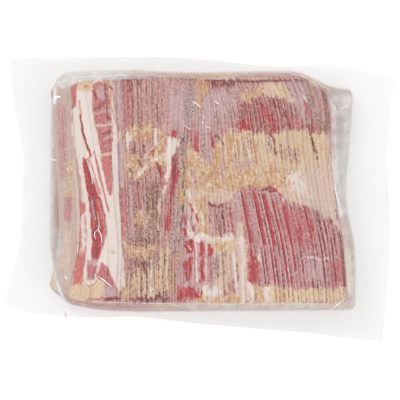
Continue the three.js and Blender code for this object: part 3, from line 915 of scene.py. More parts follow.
class Marbling:
    """Lays lean and fat over the slices as seen from above, and turns them into surface values."""

    def __init__(self, seed: int) -> None:
        """Draw the unevenness of the marks' outlines."""
        self._drift = (Grain(seed), Grain(seed + 1), Grain(seed + 2), Grain(seed + 3))
        self._kinds = list(Tissue)

    def uneven(self, x: Plan, y: Plan, amount: float = 1.0) -> tuple[Plan, Plan]:
        """Shift photo positions a little, so that drawn outlines come out ragged.

        Args:
            x: Photo positions.
            y: Photo positions.
            amount: How strong the shift is.

        Returns:
            The shifted positions.
        """
        slow_x, slow_y, fine_x, fine_y = self._drift
        across = 1.0 * slow_x.at(x / 4.5, y / 9) + 0.45 * fine_x.at(x / 1.5, y / 5.0)
        down = 2.0 * slow_y.at(x / 3.2, y / 6) + 1.7 * fine_y.at(x / 1.2, y / 2.2)
        return x + amount * across, y + amount * down

    def weights(self, x: Plan, y: Plan, slip: Plan | float = 0.0) -> Plan:
        """How much of each tissue lies at plan positions.

        Args:
            x: Plan positions.
            y: Plan positions.
            slip: How far each position's slice has slipped along its length, in photo units.

        Returns:
            One row for each position, with a weight for each tissue.
        """
        flat_x, flat_y = to_photo(x, y)
        weight = np.zeros((x.size, len(self._kinds)))
        weight[:, self._kinds.index(Tissue.LEAN)] = 1
        self.draw(weight, STACK_MARBLING, flat_x, flat_y + slip, 1.0)
        self.draw(weight, FLAT_SLICES + WALLS, flat_x, flat_y, 0.45)
        self.draw(weight, CRISP_MARKS, flat_x, flat_y, 0.3)
        return weight

    def draw(self, weight: Plan, marks: tuple, flat_x: Plan, flat_y: Plan, raggedness: float) -> None:
        """Lay marks over each other in their order.

        Args:
            weight: The weights, changed in place.
            marks: Patches and streaks.
            flat_x: Photo positions.
            flat_y: Photo positions.
            raggedness: How uneven the marks' outlines are.
        """
        across, down = self.uneven(flat_x, flat_y, raggedness)
        fine, coarse = self._drift[2:]
        fray = fine.at(across / 0.9 + 5, down / 2.6) + 0.5 * coarse.at(across / 2.1, down / 5)
        fray = fray * raggedness
        for mark in marks:
            left, right, top, bottom = mark.reach()
            near = np.flatnonzero((across > left) & (across < right) & (down > top) & (down < bottom))
            if near.size:
                self.lay(weight, near, mark.cover(across[near], down[near], fray[near]), mark.value)

    def lay(self, weight: Plan, rows: Plan, cover: Plan, tissue: Tissue) -> None:
        """Lay one tissue over what is there on some rows of the weights, as far as its cover goes."""
        weight[rows] *= (1 - cover)[:, None]
        weight[rows, self._kinds.index(tissue)] += cover

    def belly(self, x: Plan, y: Plan, number: Plan) -> Plan:
        """Bands of lean and fat along a slice where no photo shows it.

        Args:
            x: Plan positions.
            y: Plan positions.
            number: The slice's number at each position.

        Returns:
            Weights as from the photo's own marks.
        """
        slow_x, slow_y, fine_x, _ = self._drift
        along = y + 7 * slow_x.at(number * 0.37, y / 28) + 5 * unevenness(number * 3 + 5)
        band = np.sin(along / 17.0 + 0.6 * slow_y.at(x / 40, y / 60))
        band = band + 0.35 * np.sin(along / 6.1 + number * 0.5)
        fat = smooth(band + 0.3 * fine_x.at(x / 2, y / 5), 0.1, 0.5)
        kinds = self._kinds
        weight = np.zeros((x.size, len(kinds)))
        white = 0.5 + 0.5 * slow_y.at(number * 0.8, y / 20)
        red = smooth(slow_x.at(number * 0.9 + 20, y / 14), -0.1, 0.6)
        weight[:, kinds.index(Tissue.CREAM)] = fat * (1 - white)
        weight[:, kinds.index(Tissue.WHITE)] = fat * white
        weight[:, kinds.index(Tissue.LEAN)] = (1 - fat) * (1 - red)
        weight[:, kinds.index(Tissue.ROSE)] = (1 - fat) * red
        return weight

    def surface(self, weight: Plan) -> dict[str, Plan]:
        """Turn tissue weights into what the slices' material reads.

        Args:
            weight: One row for each position.

        Returns:
            The colour, the painted crease shade's colour and strength, and the fatness, mottle and
            pepper, by the attribute's name.
        """
        looks = [kind.value for kind in self._kinds]
        tone = np.array([linear(look.seen) for look in looks])
        crease = np.array([linear(look.crease) for look in looks])
        state = np.array([(look.fatness, look.mottle, look.pepper) for look in looks])
        crease_shade_strength = np.array([look.crease_shade_strength for look in looks])
        return {"tone": weight @ tone, "crease_shade_tone": weight @ crease, "state": weight @ state,
                "line": weight @ crease_shade_strength}


def add_node(tree: bpy.types.NodeTree, kind: str, inputs: dict | None = None,
             **settings: object) -> bpy.types.Node:
    """Add a node with its settings and its links.

    Args:
        tree: The material's or the world's node tree.
        kind: The node's type.
        inputs: Values or output sockets, by input name or number.
        **settings: The node's own properties.

    Returns:
        The node.
    """
    node = tree.nodes.new(kind)
    for name, value in settings.items():
        setattr(node, name, value)
    for name, value in (inputs or {}).items():
        if isinstance(value, bpy.types.NodeSocket):
            tree.links.new(value, node.inputs[name])
        else:
            node.inputs[name].default_value = value
    return node


def empty_material(name: str) -> bpy.types.Material:
    """A material with no nodes yet."""
    material = bpy.data.materials.new(name)
    material.use_nodes = True
    material.node_tree.nodes.clear()
    return material


@dataclass(frozen=True)
class CuredBelly:
    """Sliced cured pork belly: moist fibres along the slice, crumbly fat and ground pepper specks."""

    fibre_width: float = 1.3
    fibre_length: float = 10.0
    fleck_width: float = 1.7
    fleck_length: float = 3.0
    crumb_width: float = 4.2
    crumb_length: float = 5.4
    crumb_kinds: tuple = (
        (0.5, 0.6, 0.6, "#b98a86"), (0.5, 0.58, 0.7, "#c68c56"), (0.55, 0.65, 0.7, "#e6d5c2"))
    lean_fleck: str = "#cba6a4"
    fat_fleck: str = "#ecd4bc"
    highlight_fleck: str = "#e8d0c0"
    edge_highlight_colour: str = "#e6cbc4"
    ground_pepper: str = "#3c2526"
    pepper_spacing: float = 2.8
    crease_shade_width: float = 1.9
    edge_highlight_width: float = 1.5
    relief: float = 0.0005
    roughness: tuple[float, float] = (0.3, 0.5)
    ior: float = 1.4

    def spaced(self, tree: bpy.types.NodeTree, place: bpy.types.NodeSocket, width: float, length: float,
               shift: float) -> bpy.types.NodeSocket:
        """Scale object coordinates so that one unit is one cell, with its width and length in millimetres."""
        across, along = 1 / (width * MM), 1 / (length * MM)
        return add_node(tree, "ShaderNodeMapping", {
            "Vector": place, "Location": (shift, shift, shift),
            "Scale": (across, along, across)}).outputs["Vector"]

    def laid_over(self, tree: bpy.types.NodeTree, below: bpy.types.NodeSocket,
                  colour: bpy.types.NodeSocket | tuple, share: bpy.types.Node,
                  strength: bpy.types.NodeSocket) -> bpy.types.NodeSocket:
        """Lay a colour over the one below it, where a pattern's share times its strength has it."""
        amount = add_node(tree, "ShaderNodeMath", {0: share.outputs[0], 1: strength},
                          operation="MULTIPLY", use_clamp=True)
        return add_node(tree, "ShaderNodeMix", {0: amount.outputs[0], 6: below, 7: colour},
                        data_type="RGBA").outputs[2]

    def material(self) -> bpy.types.Material:
        """Build the material.

        Returns:
            The material.
        """
        # The cut face is wet with brine, so it has a soft gloss. Lean is fibrous, fat waxy and crumbly.
        material = empty_material("cured_pork_belly_sliced")
        tree = material.node_tree
        place = add_node(tree, "ShaderNodeTexCoord").outputs["Object"]
        tone, crease_shade_tone, state = (
            add_node(tree, "ShaderNodeAttribute", attribute_name=name).outputs["Color"]
            for name in ("tone", "crease_shade_tone", "state"))
        gap, line, own = (
            add_node(tree, "ShaderNodeAttribute", attribute_name=name).outputs["Fac"]
            for name in ("gap", "line", "own"))
        parts = add_node(tree, "ShaderNodeSeparateColor", {"Color": state})
        fatness, mottle, pepper = parts.outputs[0], parts.outputs[1], parts.outputs[2]

        # Two patterns of flecks, dark ones and light ones that are painted highlights, differ only in where
        # they start.
        fibre, fleck, glow = (
            add_node(tree, "ShaderNodeTexNoise", {
                "Vector": self.spaced(tree, place, width, length, shift),
                "Scale": 1.0, "Detail": detail, "Roughness": roughness}).outputs[0]
            for width, length, shift, detail, roughness in (
                (self.fibre_width, self.fibre_length, 3.0, 3.0, 0.65),
                (self.fleck_width, self.fleck_length, 17.0, 2.0, 0.6),
                (self.fleck_width, self.fleck_length, 41.0, 2.0, 0.6)))
        crumb = add_node(tree, "ShaderNodeTexNoise", {
            "Vector": self.spaced(tree, place, self.crumb_width, self.crumb_length, 29.0),
            "Scale": 1.0, "Detail": 2.5, "Roughness": 0.6, "Distortion": 0.5})
        crumb_kind = add_node(tree, "ShaderNodeSeparateColor", {"Color": crumb.outputs["Color"]})
        grains = add_node(tree, "ShaderNodeTexVoronoi", {
            "Vector": self.spaced(tree, place, self.pepper_spacing, self.pepper_spacing, 5.0),
            "Scale": 1.0}).outputs["Distance"]

        lean_shade = add_node(tree, "ShaderNodeMapRange", {0: fibre, 1: 0.28, 2: 0.72, 3: 0.74, 4: 1.24})
        fat_shade = add_node(tree, "ShaderNodeMapRange", {0: fibre, 1: 0.28, 2: 0.72, 3: 0.93, 4: 1.06})
        shade = add_node(tree, "ShaderNodeMix", {
            0: fatness, 2: lean_shade.outputs[0], 3: fat_shade.outputs[0]})
        fibred = add_node(tree, "ShaderNodeVectorMath", {0: tone, 1: shade.outputs[0]},
                          operation="MULTIPLY").outputs[0]

        tint = add_node(tree, "ShaderNodeMix", {
            0: fatness, 6: opaque(self.lean_fleck), 7: opaque(self.fat_fleck)}, data_type="RGBA")
        darkened = add_node(tree, "ShaderNodeVectorMath", {0: fibred, 1: tint.outputs[2]},
                            operation="MULTIPLY").outputs[0]
        dark = add_node(tree, "ShaderNodeMapRange", {0: fleck, 1: 0.5, 2: 0.64, 3: 0.0, 4: 0.95})
        colour = self.laid_over(tree, fibred, darkened, dark, mottle)
        # Painted highlights: light flecks over the tissue.
        light = add_node(tree, "ShaderNodeMapRange", {0: glow, 1: 0.52, 2: 0.68, 3: 0.0, 4: 0.7})
        colour = self.laid_over(tree, colour, opaque(self.highlight_fleck), light, mottle)

        crumbly = add_node(tree, "ShaderNodeMapRange", {0: mottle, 1: 0.7, 2: 1.0, 3: 0.0, 4: 1.0})
        for kind, (low, high, most, crumb_colour) in enumerate(self.crumb_kinds):
            share = add_node(tree, "ShaderNodeMapRange", {
                0: crumb_kind.outputs[kind], 1: low, 2: high, 3: 0.0, 4: most})
            colour = self.laid_over(tree, colour, opaque(crumb_colour), share, crumbly.outputs[0])

        # Painted highlight: a pale line along each slice's own free edge, broken into beads.
        edge_highlight = add_node(tree, "ShaderNodeMapRange", {0: own, 1: 0.5, 2: self.edge_highlight_width, 3: 0.5, 4: 0.0})
        edge_highlight = add_node(tree, "ShaderNodeMath", {0: edge_highlight.outputs[0], 1: line}, operation="MULTIPLY",
                       use_clamp=True)
        beaded = add_node(tree, "ShaderNodeMapRange", {0: fleck, 1: 0.42, 2: 0.58, 3: 0.1, 4: 1.0})
        colour = self.laid_over(tree, colour, opaque(self.edge_highlight_colour), edge_highlight, beaded.outputs[0])

        # Painted shade: the colour darkens towards each crease, where a slice comes out from under its
        # neighbour, partly in the tissue's own darker colour.
        near = add_node(tree, "ShaderNodeMath", {0: gap}, operation="ABSOLUTE")
        near = add_node(tree, "ShaderNodeMapRange", {
            0: near.outputs[0], 1: 0.5, 2: self.crease_shade_width, 3: 1.0, 4: 0.0})
        near = add_node(tree, "ShaderNodeMath", {0: near.outputs[0], 1: line}, operation="MULTIPLY")
        broken = add_node(tree, "ShaderNodeMapRange", {0: glow, 1: 0.35, 2: 0.6, 3: 1.0, 4: 0.15})
        colour = self.laid_over(tree, colour, crease_shade_tone, near, broken.outputs[0])

        grain = add_node(tree, "ShaderNodeMapRange", {0: grains, 1: 0.34, 2: 0.2, 3: 0.0, 4: 0.95})
        colour = self.laid_over(tree, colour, opaque(self.ground_pepper), grain, pepper)

        wet = add_node(tree, "ShaderNodeMapRange", {
            0: glow, 1: 0.3, 2: 0.7, 3: self.roughness[0], 4: self.roughness[1]})
        height = add_node(tree, "ShaderNodeMath", {0: fibre, 1: fleck}, operation="ADD")
        bump = add_node(tree, "ShaderNodeBump", {
            "Height": height.outputs[0], "Strength": 0.6, "Distance": self.relief})
        shader = add_node(tree, "ShaderNodeBsdfPrincipled", {
            "Base Color": colour, "Roughness": wet.outputs[0], "IOR": self.ior,
            "Normal": bump.outputs["Normal"]})
        add_node(tree, "ShaderNodeOutputMaterial", {"Surface": shader.outputs[0]})
        return material


@dataclass(frozen=True)
class BarrierFilm:
    """Clear co-extruded vacuum film: glossy, faintly grey, and milky where it is stretched."""

    tint: str = "#f8f8f8"
    veil: str = "#e9e7e5"
    gloss_roughness: float = 0.12
    head_on: float = 0.02
    grazing: float = 0.4
    wrinkle_spacing: float = 9.0
    wrinkle_height: float = 0.0004

    def material(self) -> bpy.types.Material:
        """Build the film.

        Returns:
            The material.
        """
        # Thin film lets light straight through, so it is see-through with a gloss on top.
        material = empty_material("clear_vacuum_film")
        tree = material.node_tree
        place = add_node(tree, "ShaderNodeTexCoord").outputs["Object"]
        cells = 1 / (self.wrinkle_spacing * MM)
        spaced = add_node(tree, "ShaderNodeMapping", {"Vector": place, "Scale": (cells, cells, cells)})
        wrinkle = add_node(tree, "ShaderNodeTexNoise", {
            "Vector": spaced.outputs[0], "Scale": 1.0, "Detail": 2.0, "Distortion": 0.6})
        bump = add_node(tree, "ShaderNodeBump", {
            "Height": wrinkle.outputs[0], "Strength": 0.5, "Distance": self.wrinkle_height})
        milk = add_node(tree, "ShaderNodeAttribute", attribute_name="milk").outputs["Fac"]
        clear = add_node(tree, "ShaderNodeBsdfTransparent", {"Color": opaque(self.tint)})
        veil = add_node(tree, "ShaderNodeBsdfDiffuse", {"Color": opaque(self.veil)})
        body = add_node(tree, "ShaderNodeMixShader", {0: milk, 1: clear.outputs[0], 2: veil.outputs[0]})
        facing = add_node(tree, "ShaderNodeLayerWeight", {"Blend": 0.5, "Normal": bump.outputs[0]})
        slanted = add_node(tree, "ShaderNodeMath", {0: facing.outputs["Facing"], 1: 5.0}, operation="POWER")
        shine = add_node(tree, "ShaderNodeMapRange", {
            0: slanted.outputs[0], 1: 0.0, 2: 1.0, 3: self.head_on, 4: self.grazing})
        gloss = add_node(tree, "ShaderNodeBsdfAnisotropic", {
            "Roughness": self.gloss_roughness, "Normal": bump.outputs[0]})
        skin = add_node(tree, "ShaderNodeMixShader", {
            0: shine.outputs[0], 1: body.outputs[0], 2: gloss.outputs[0]})
        add_node(tree, "ShaderNodeOutputMaterial", {"Surface": skin.outputs[0]})
        return material


@dataclass(frozen=True)
class GlintFilm:
    """Film painted white along a crease as a glint."""

    colour: str = "#fbfbfa"
    roughness: float = 0.25
    patches: float = 700.0

    def material(self) -> bpy.types.Material:
        """Build the film with its painted glints.

        Returns:
            The material.
        """
        # Painted highlight: the crease is white from every side, as a glint.
        material = empty_material("painted_glint_film")
        tree = material.node_tree
        strength = add_node(tree, "ShaderNodeAttribute", attribute_name="milk").outputs["Fac"]
        place = add_node(tree, "ShaderNodeTexCoord").outputs["Object"]
        spaced = add_node(tree, "ShaderNodeMapping", {
            "Vector": place, "Scale": (self.patches, self.patches, self.patches)})
        patchy = add_node(tree, "ShaderNodeTexNoise", {
            "Vector": spaced.outputs[0], "Scale": 1.0, "Detail": 1.0})
        thick = add_node(tree, "ShaderNodeMapRange", {0: patchy.outputs[0], 1: 0.2, 2: 0.6, 3: 0.6, 4: 1.0})
        amount = add_node(tree, "ShaderNodeMath", {0: strength, 1: thick.outputs[0]}, operation="MULTIPLY")
        clear = add_node(tree, "ShaderNodeBsdfTransparent")
        white = add_node(tree, "ShaderNodeBsdfPrincipled", {
            "Base Color": opaque(self.colour), "Roughness": self.roughness})
        skin = add_node(tree, "ShaderNodeMixShader", {
            0: amount.outputs[0], 1: clear.outputs[0], 2: white.outputs[0]})
        add_node(tree, "ShaderNodeOutputMaterial", {"Surface": skin.outputs[0]})
        return material


@dataclass(frozen=True)
class StudioPaper:
    """White background paper, lit from below like a light table."""

    colour: str = "#cfcfcf"
    roughness: float = 0.9
    backlight: float = 0.46

    def material(self) -> bpy.types.Material:
        """Build the paper.

        Returns:
            The material.
        """
        material = empty_material("white_background_paper")
        tree = material.node_tree
        shader = add_node(tree, "ShaderNodeBsdfPrincipled", {
            "Base Color": opaque(self.colour), "Roughness": self.roughness,
            "Emission Color": (1, 1, 1, 1), "Emission Strength": self.backlight})
        add_node(tree, "ShaderNodeOutputMaterial", {"Surface": shader.outputs[0]})
        return material


@dataclass
class SheetBatch:
    """Many copies of one closed, bent sheet in a single piece."""

    name: str
    across: int
    along: int
    copies: int
    mesh: bpy.types.Mesh = field(init=False)
    column: Plan = field(init=False)
    row: Plan = field(init=False)
    below: Plan = field(init=False)

    def __post_init__(self) -> None:
        """Make the flat copies and remember which grid point each vertex is."""
        flat = bmesh.new()
        bmesh.ops.create_grid(flat, x_segments=self.across, y_segments=self.along, size=1.0)
        raised = bmesh.ops.extrude_face_region(flat, geom=flat.faces[:])
        corners = [item for item in raised["geom"] if isinstance(item, bmesh.types.BMVert)]
        bmesh.ops.translate(flat, verts=corners, vec=(0, 0, 1))
        bmesh.ops.recalc_face_normals(flat, faces=flat.faces[:])
        one = bpy.data.meshes.new(f"{self.name}_one")
        flat.to_mesh(one)
        flat.free()
        many = bmesh.new()
        for _ in range(self.copies):
            many.from_mesh(one)
        self.mesh = bpy.data.meshes.new(self.name)
        many.to_mesh(self.mesh)
        many.free()
        place = np.empty(len(one.vertices) * 3)
        one.vertices.foreach_get("co", place)
        place = place.reshape(-1, 3)
        bpy.data.meshes.remove(one)
        self.column = np.rint((place[:, 0] + 1) / 2 * self.across).astype(int)
        self.row = np.rint((place[:, 1] + 1) / 2 * self.along).astype(int)
        self.below = (place[:, 2] < 0.5).astype(int)

    def spread(self, grid: Plan) -> Plan:
        """Read an array of copy, column, row and side at every vertex of the piece."""
        values = grid[:, self.column, self.row, self.below]
        return values.reshape(-1, *grid.shape[4:])

    def set_points(self, x: Plan, y: Plan, z: Plan) -> None:
        """Move the vertices to plan positions and heights by copy, column, row and side."""
        points = np.stack([x + ROW_SHIFT[0], y + ROW_SHIFT[1], z], axis=-1) * MM
        self.mesh.vertices.foreach_set("co", self.spread(points).ravel())

    def set_values(self, values: dict[str, Plan]) -> None:
        """Store attributes on the vertices.

        Args:
            values: Arrays by attribute name, one row for each vertex.
        """
        for name, value in values.items():
            if value.ndim == 1:
                layer = self.mesh.attributes.new(name, "FLOAT", "POINT")
                layer.data.foreach_set("value", value.astype(np.float32))
            else:
                layer = self.mesh.attributes.new(name, "FLOAT_COLOR", "POINT")
                full = np.ones((len(value), 4), dtype=np.float32)
                full[:, :3] = value
                layer.data.foreach_set("color", full.ravel())

    def finish(self, material: bpy.types.Material) -> bpy.types.Object:
        """Make the piece.

        Args:
            material: Its material.

        Returns:
            The object, smooth-shaded.
        """
        self.mesh.materials.append(material)
        self.mesh.shade_smooth()
        self.mesh.update()
        piece = bpy.data.objects.new(self.name, self.mesh)
        bpy.context.scene.collection.objects.link(piece)
        return piece


@dataclass
class SliceRun:
    """A run of overlapping slices between two upright lines, each lying over the next one to its right."""

    left: PlanLine
    right: PlanLine
    shares: Plan
    shift: Line
    step: float
    seed: int
    number: int

    def edge(self, index: int, y: Plan) -> Plan:
        """Where a slice's free right edge runs.

        Args:
            index: The slice's place in the run, or -1 for the run's left line.
            y: Plan positions.

        Returns:
            Plan positions across.
        """
        if index < 0:
            return self.left(y)
        share = self.shares[index]
        return mix(self.left(y), self.right(y), share) + math.sin(math.pi * share) * self.shift(y)

    def drop(self, index: int) -> float:
        """How far the film steps down from a slice's edge to the next slice."""
        return float(self.step * (0.36 + 0.32 * unevenness(self.seed + index)))


def even_shares(count: int, seed: int, spread: float = 0.45) -> Plan:
    """Where each slice's edge shows in a run, as uneven shares of its width, with the last at 1."""
    place = np.arange(1, count)
    return np.append((place + spread * unevenness(seed + place)) / count, 1.0)


FLAT_RUN = SliceRun(SHAPE.face.left, SHAPE.stack_left, np.array([0.3, 0.56, 0.86, 1.0]),
                    upright(-15, -10, -5, 0, 5, 10, 15), 1.5, 300, 100)
LEFT_RUN = SliceRun(SHAPE.stack_left, SHAPE.groove, even_shares(14, 100),
                    upright(-9, -6, -3, 0, 3, 6, 9), 1.5, 400, 200)
RIGHT_RUN = SliceRun(SHAPE.groove, SHAPE.face.right, even_shares(36, 200),
                     upright(-27, -15, -6.5, -1, 8, 12.5, 16), 1.5, 500, 300)


@dataclass(frozen=True)
class Buried:
    """A further sheet under a slice, which fills the stack where no other slice does."""

    depth: float
    inset: float


PLAIN = (Buried(0.0, 0.0),)


@dataclass
class SliceBuilder:
    """Builds the sheets of some slices of a run, bent to the pack's shape."""

    run: SliceRun
    marbling: Marbling
    grain: Grain
    along: int = 170
    exposed: int = 7
    hidden: int = 3
    thickness: float = 1.7
    tilt: float = 0.44
    reach: float = 62.0
    lower_layer: bool = False
    on_slope: bool = False
    slip: float = 0.0
    floor_gap: float = 0.3
    thinnest: float = 0.4
    end_gap: float = 0.6
    behind: int = 17

    def surface_height(self, x: Plan, y: Plan) -> Plan:
        """The height that the slices' tops lie at, just under the film or under the upper layer."""
        top = SHAPE.height(x, y)
        return np.minimum(top, LAYER_HEIGHT - 0.1) if self.lower_layer else top

    def ends(self, x: Plan, z: Plan) -> tuple[Plan, Plan]:
        """Where sheets end at the bottom and top of the pack, by their height in its wall.

        Args:
            x: Plan positions.
            z: Heights.

        Returns:
            The lowest and highest Y.
        """
        side, depth = self.wall(z)
        low, high = side.bottom(x), side.top(x)
        return low + side.inset(x, low, depth, False), high - side.inset(x, high, depth, True)

    def wall(self, z: Plan) -> tuple[Outline, Plan]:
        """Which outline the ends of sheets follow at some height, and how deep inside it they stay.

        Args:
            z: Heights.

        Returns:
            The outline, and depths in units of its slope.
        """
        over = np.clip((z - LAYER_HEIGHT) / LAYER_HEIGHT, 0, 1)
        if not self.lower_layer:
            return SHAPE.face, 0.06 - (1 - setback(over))
        under = np.maximum(setback(z / LAYER_HEIGHT), setback(1 - z / SEAM_HEIGHT) * FOOT_ROUND / FOOT_SLOPE)
        return SHAPE.foot, under + 0.12

    def build(self, name: str, slices: list[int], buried: tuple[Buried, ...]) -> SheetBatch:
        """Build one piece out of some of the run's slices.

        Args:
            name: The piece's name.
            slices: Which slices of the run it has.
            buried: The sheets of each slice.

        Returns:
            The sheets, with their surface values.
        """
        sheets = [(index, extra) for index in slices for extra in buried]
        across = self.exposed + self.hidden
        batch = SheetBatch(name, across, self.along, len(sheets))
        shape = (len(sheets), across + 1, self.along + 1)
        x, y, top, gap, number, line = (np.zeros(shape) for _ in range(6))
        for place, (index, extra) in enumerate(sheets):
            x[place], y[place], top[place], gap[place] = self.sheet(index, extra)
            number[place] = self.run.number + index + self.behind * (extra.depth > 0) * (1 + place % 7)
            # Each slice's own strength of painted crease shade; buried sheets get none.
            line[place] = 0.0 if extra.depth > 0 else 0.45 + 1.4 * abs(unevenness(self.run.seed + 7 * index))
        own = np.zeros(shape)
        own[:, 1:, :] = np.cumsum(np.abs(np.diff(x, axis=1)), axis=1)
        thick = self.thickness * mix(0.3, 1.0, smooth(own, -0.2, 2.0))
        x, y = self.kept_inside(x, y)
        floor = SHAPE.underside(x, y) + self.floor_gap
        top = np.minimum(top, SHAPE.height_around(x, y, 0.5) - CLEARANCE)
        top = np.maximum(top, floor + self.thinnest)
        bottom = np.maximum(top - thick, floor)
        grid_x, grid_y = two_sided(x), two_sided(y)
        batch.set_points(grid_x, grid_y, np.stack([top, bottom], axis=-1))
        # The columns run from right to left, which leaves the sheets inside out until they are flipped.
        batch.mesh.flip_normals()
        flat_x, flat_y = batch.spread(grid_x), batch.spread(grid_y)
        gap, own, line, number = (batch.spread(two_sided(grid)) for grid in (gap, own, line, number))
        values = self.marbling.surface(self.tissue(flat_x, flat_y, number, gap))
        tint = 1 + 0.1 * unevenness(number * 5 + 2)
        values["tone"] = np.clip(values["tone"] * tint[:, None], 0, 0.95)
        values["gap"], values["own"] = gap, own
        # The painted crease shade varies over the pack and from slice to slice.
        broad = 1 + 0.9 * self.grain.at(flat_x / 19, flat_y / 16) * (values["line"] < 1)
        narrow = 1 + 0.7 * self.grain.at(number * 0.7, flat_y / 9)
        values["line"] *= line * broad * narrow
        batch.set_values(values)
        return batch

    def sheet(self, index: int, extra: Buried) -> tuple[Plan, Plan, Plan, Plan]:
        """Bend one sheet.

        Args:
            index: The slice's place in the run.
            extra: How deep the sheet lies under the slice's own surface.

        Returns:
            X, Y, the height of the upper side, and the distance to the crease, by column and row.
        """
        share = np.linspace(0, 1, self.along + 1)
        shown = np.concatenate([[0, 0.1], np.linspace(0.1, 1, self.exposed)[1:]])
        ragged = unevenness(self.run.seed + 31 * index + int(extra.depth * 7))
        wave = self.grain.at(self.run.number + index * 1.7 + extra.depth, share * 16)
        wave = 0.35 * wave + 0.1 * self.grain.at(self.run.number + index * 2.3 + extra.depth, share * 40 + 9)
        y = mix(SHAPE.face.bottom(np.zeros(1)), SHAPE.face.top(np.zeros(1)), share)
        for _ in range(3):
            line = self.run.edge(index, y)
            low, high = self.ends(line, np.full(y.shape, self.mean_height(extra)))
            y = mix(low + self.end_gap + ragged, high - self.end_gap - ragged, share)
        edge = self.run.edge(index, y) + wave - extra.inset
        crease = self.run.edge(index - 1, y) + STEP_WIDTH * 0.4
        pitch = np.maximum(edge - crease, 0.8)
        t = np.zeros((self.exposed + self.hidden + 1, self.along + 1))
        t[:self.exposed + 1] = shown[:, None] * (pitch + 1.0)[None, :]
        drop = self.run.drop(index - 1) if index > 0 else self.run.step * 0.6
        far = self.tail(edge, y, pitch, drop, extra)
        for step in range(self.hidden):
            t[self.exposed + 1 + step] = mix(t[self.exposed], far, (step + 1) / self.hidden)
        x = edge[None, :] - t
        rows = np.repeat(y[None, :], len(t), axis=0)
        sunk = self.sink(t, pitch[None, :], drop) + extra.depth
        top = self.surface_height(x, rows) - CLEARANCE - sunk
        inner = self.surface_height(x, np.clip(rows, SHAPE.face.bottom(x) + 4, SHAPE.face.top(x) - 4))
        low, high = self.ends(x, inner - CLEARANCE - sunk)
        rows = mix(low + self.end_gap + ragged, high - self.end_gap - ragged, share[None, :])
        top = np.minimum(inner, self.surface_height(x, rows) + sunk * 0.9) - CLEARANCE - sunk
        top = top + 0.12 * self.grain.at(x / 3 + 7, rows / 6) - 0.12
        return x, rows, top, pitch[None, :] - t

    def kept_inside(self, x: Plan, y: Plan) -> tuple[Plan, Plan]:
        """Pull points that lie outside the foot of the pack, such as at its round corners, back inside it.

        Args:
            x: Plan positions.
            y: Plan positions.

        Returns:
            The positions, all inside.
        """
        for _ in range(4):
            short = np.maximum(0.16 - SHAPE.foot.inside(x, y), 0) * FOOT_SLOPE
            x, y = towards_middle(x, y, short)
        return x, y

    def mean_height(self, extra: Buried) -> float:
        """Roughly how high a sheet's edge lies."""
        full = LAYER_HEIGHT if self.lower_layer else 2 * LAYER_HEIGHT
        return full - CLEARANCE - 1.0 - extra.depth

    def sink(self, t: Plan, pitch: Plan, drop: float) -> Plan:
        """How far a sheet's top lies below the surface, by the distance from its own edge."""
        round_over = 0.35 * (1 - smooth(t, 0.0, 0.7))
        shown = drop * np.clip(t / pitch, 0, 1)
        return round_over + shown + self.tilt * np.maximum(t - pitch, 0)

    def tail(self, edge: Plan, y: Plan, pitch: Plan, drop: float, extra: Buried) -> Plan:
        """How far a sheet reaches back under its neighbours before it meets the floor of its layer.

        Args:
            edge: The free edge at each row.
            y: The rows.
            pitch: How wide the sheet shows at each row.
            drop: How far its surface has sunk at the crease.
            extra: How deep the sheet lies.

        Returns:
            A distance from the free edge for each row.
        """
        steps = np.linspace(0, 1, 49)[:, None]
        t = pitch[None, :] + 1.5 + steps * self.reach
        x = edge[None, :] - t
        rows = np.repeat(y[None, :], len(t), axis=0)
        top = self.surface_height(x, rows) - CLEARANCE - self.sink(t, pitch[None, :], drop) - extra.depth
        if self.lower_layer:
            free = top - self.thickness > SHAPE.underside(x, rows) + self.floor_gap
        else:
            free = (top > LAYER_HEIGHT + 0.6) & (SHAPE.lower(x, rows) > LAYER_HEIGHT * 0.97)
        blocked = ~free
        first = np.where(blocked.any(axis=0), blocked.argmax(axis=0), len(steps) - 1)
        return t[first, np.arange(t.shape[1])]

    def tissue(self, x: Plan, y: Plan, number: Plan, gap: Plan) -> Plan:
        """Which tissue lies at each vertex.

        Args:
            x: Plan positions.
            y: Plan positions.
            number: The slice's number.
            gap: The distance to the crease.

        Returns:
            Weights for each tissue.
        """
        if self.lower_layer:
            seen = self.marbling.weights(x, y)
            hidden = self.marbling.belly(x, y, number)
            on_wall = smooth(-SHAPE.face.inside(x, y) * WALL_SLOPE, 0.0, 3.0)[:, None]
            return mix(hidden, seen, 0.75 * on_wall)
        weight = self.marbling.weights(x, y, self.slip * 2 * unevenness(number * 7 + 3))
        if not self.on_slope:
            low = 0.75 * smooth(-SHAPE.face.inside(x, y) * WALL_SLOPE, 4.5, 7.5)[:, None]
            weight = mix(weight, self.marbling.belly(x, y, number), low)
        across, down = to_photo(x, y)
        # Red lean with painted crease shade along the listed seams.
        for seam in RAW_AND_SHADED_SEAMS:
            index = self.nearest(seam)
            if index is None:
                continue
            near = np.flatnonzero((number == self.run.number + index) & (down > seam.start - 3)
                                  & (down < seam.end + 3))
            if not near.size:
                continue
            ragged = 1.5 * self.grain.at(across[near] / 2, down[near] / 3)
            ends = smooth(down[near] + ragged, seam.start - 1.5, seam.start + 1.5)
            ends = ends * (1 - smooth(down[near] + ragged, seam.end - 1.5, seam.end + 1.5))
            width = seam.width * PHOTO_UNIT * (1 + 0.25 * self.grain.at(down[near] / 6, across[near] / 30))
            cover = ends * (1 - smooth(gap[near], width - 0.6, width + 0.5))
            self.marbling.lay(weight, near, cover, seam.value)
        return weight

    def nearest(self, seam: Seam) -> int | None:
        """Which slice of the run has its crease nearest to a seam's place.

        Args:
            seam: The seam.

        Returns:
            The slice's place in the run, or None where no crease is near enough.
        """
        x, y = to_plan(seam.across, (seam.start + seam.end) / 2)
        places = [float(self.run.edge(index - 1, np.array([y]))[0]) for index in range(len(self.run.shares))]
        best = int(np.argmin([abs(place - x) for place in places]))
        return best if abs(places[best] - x) < 6 else None


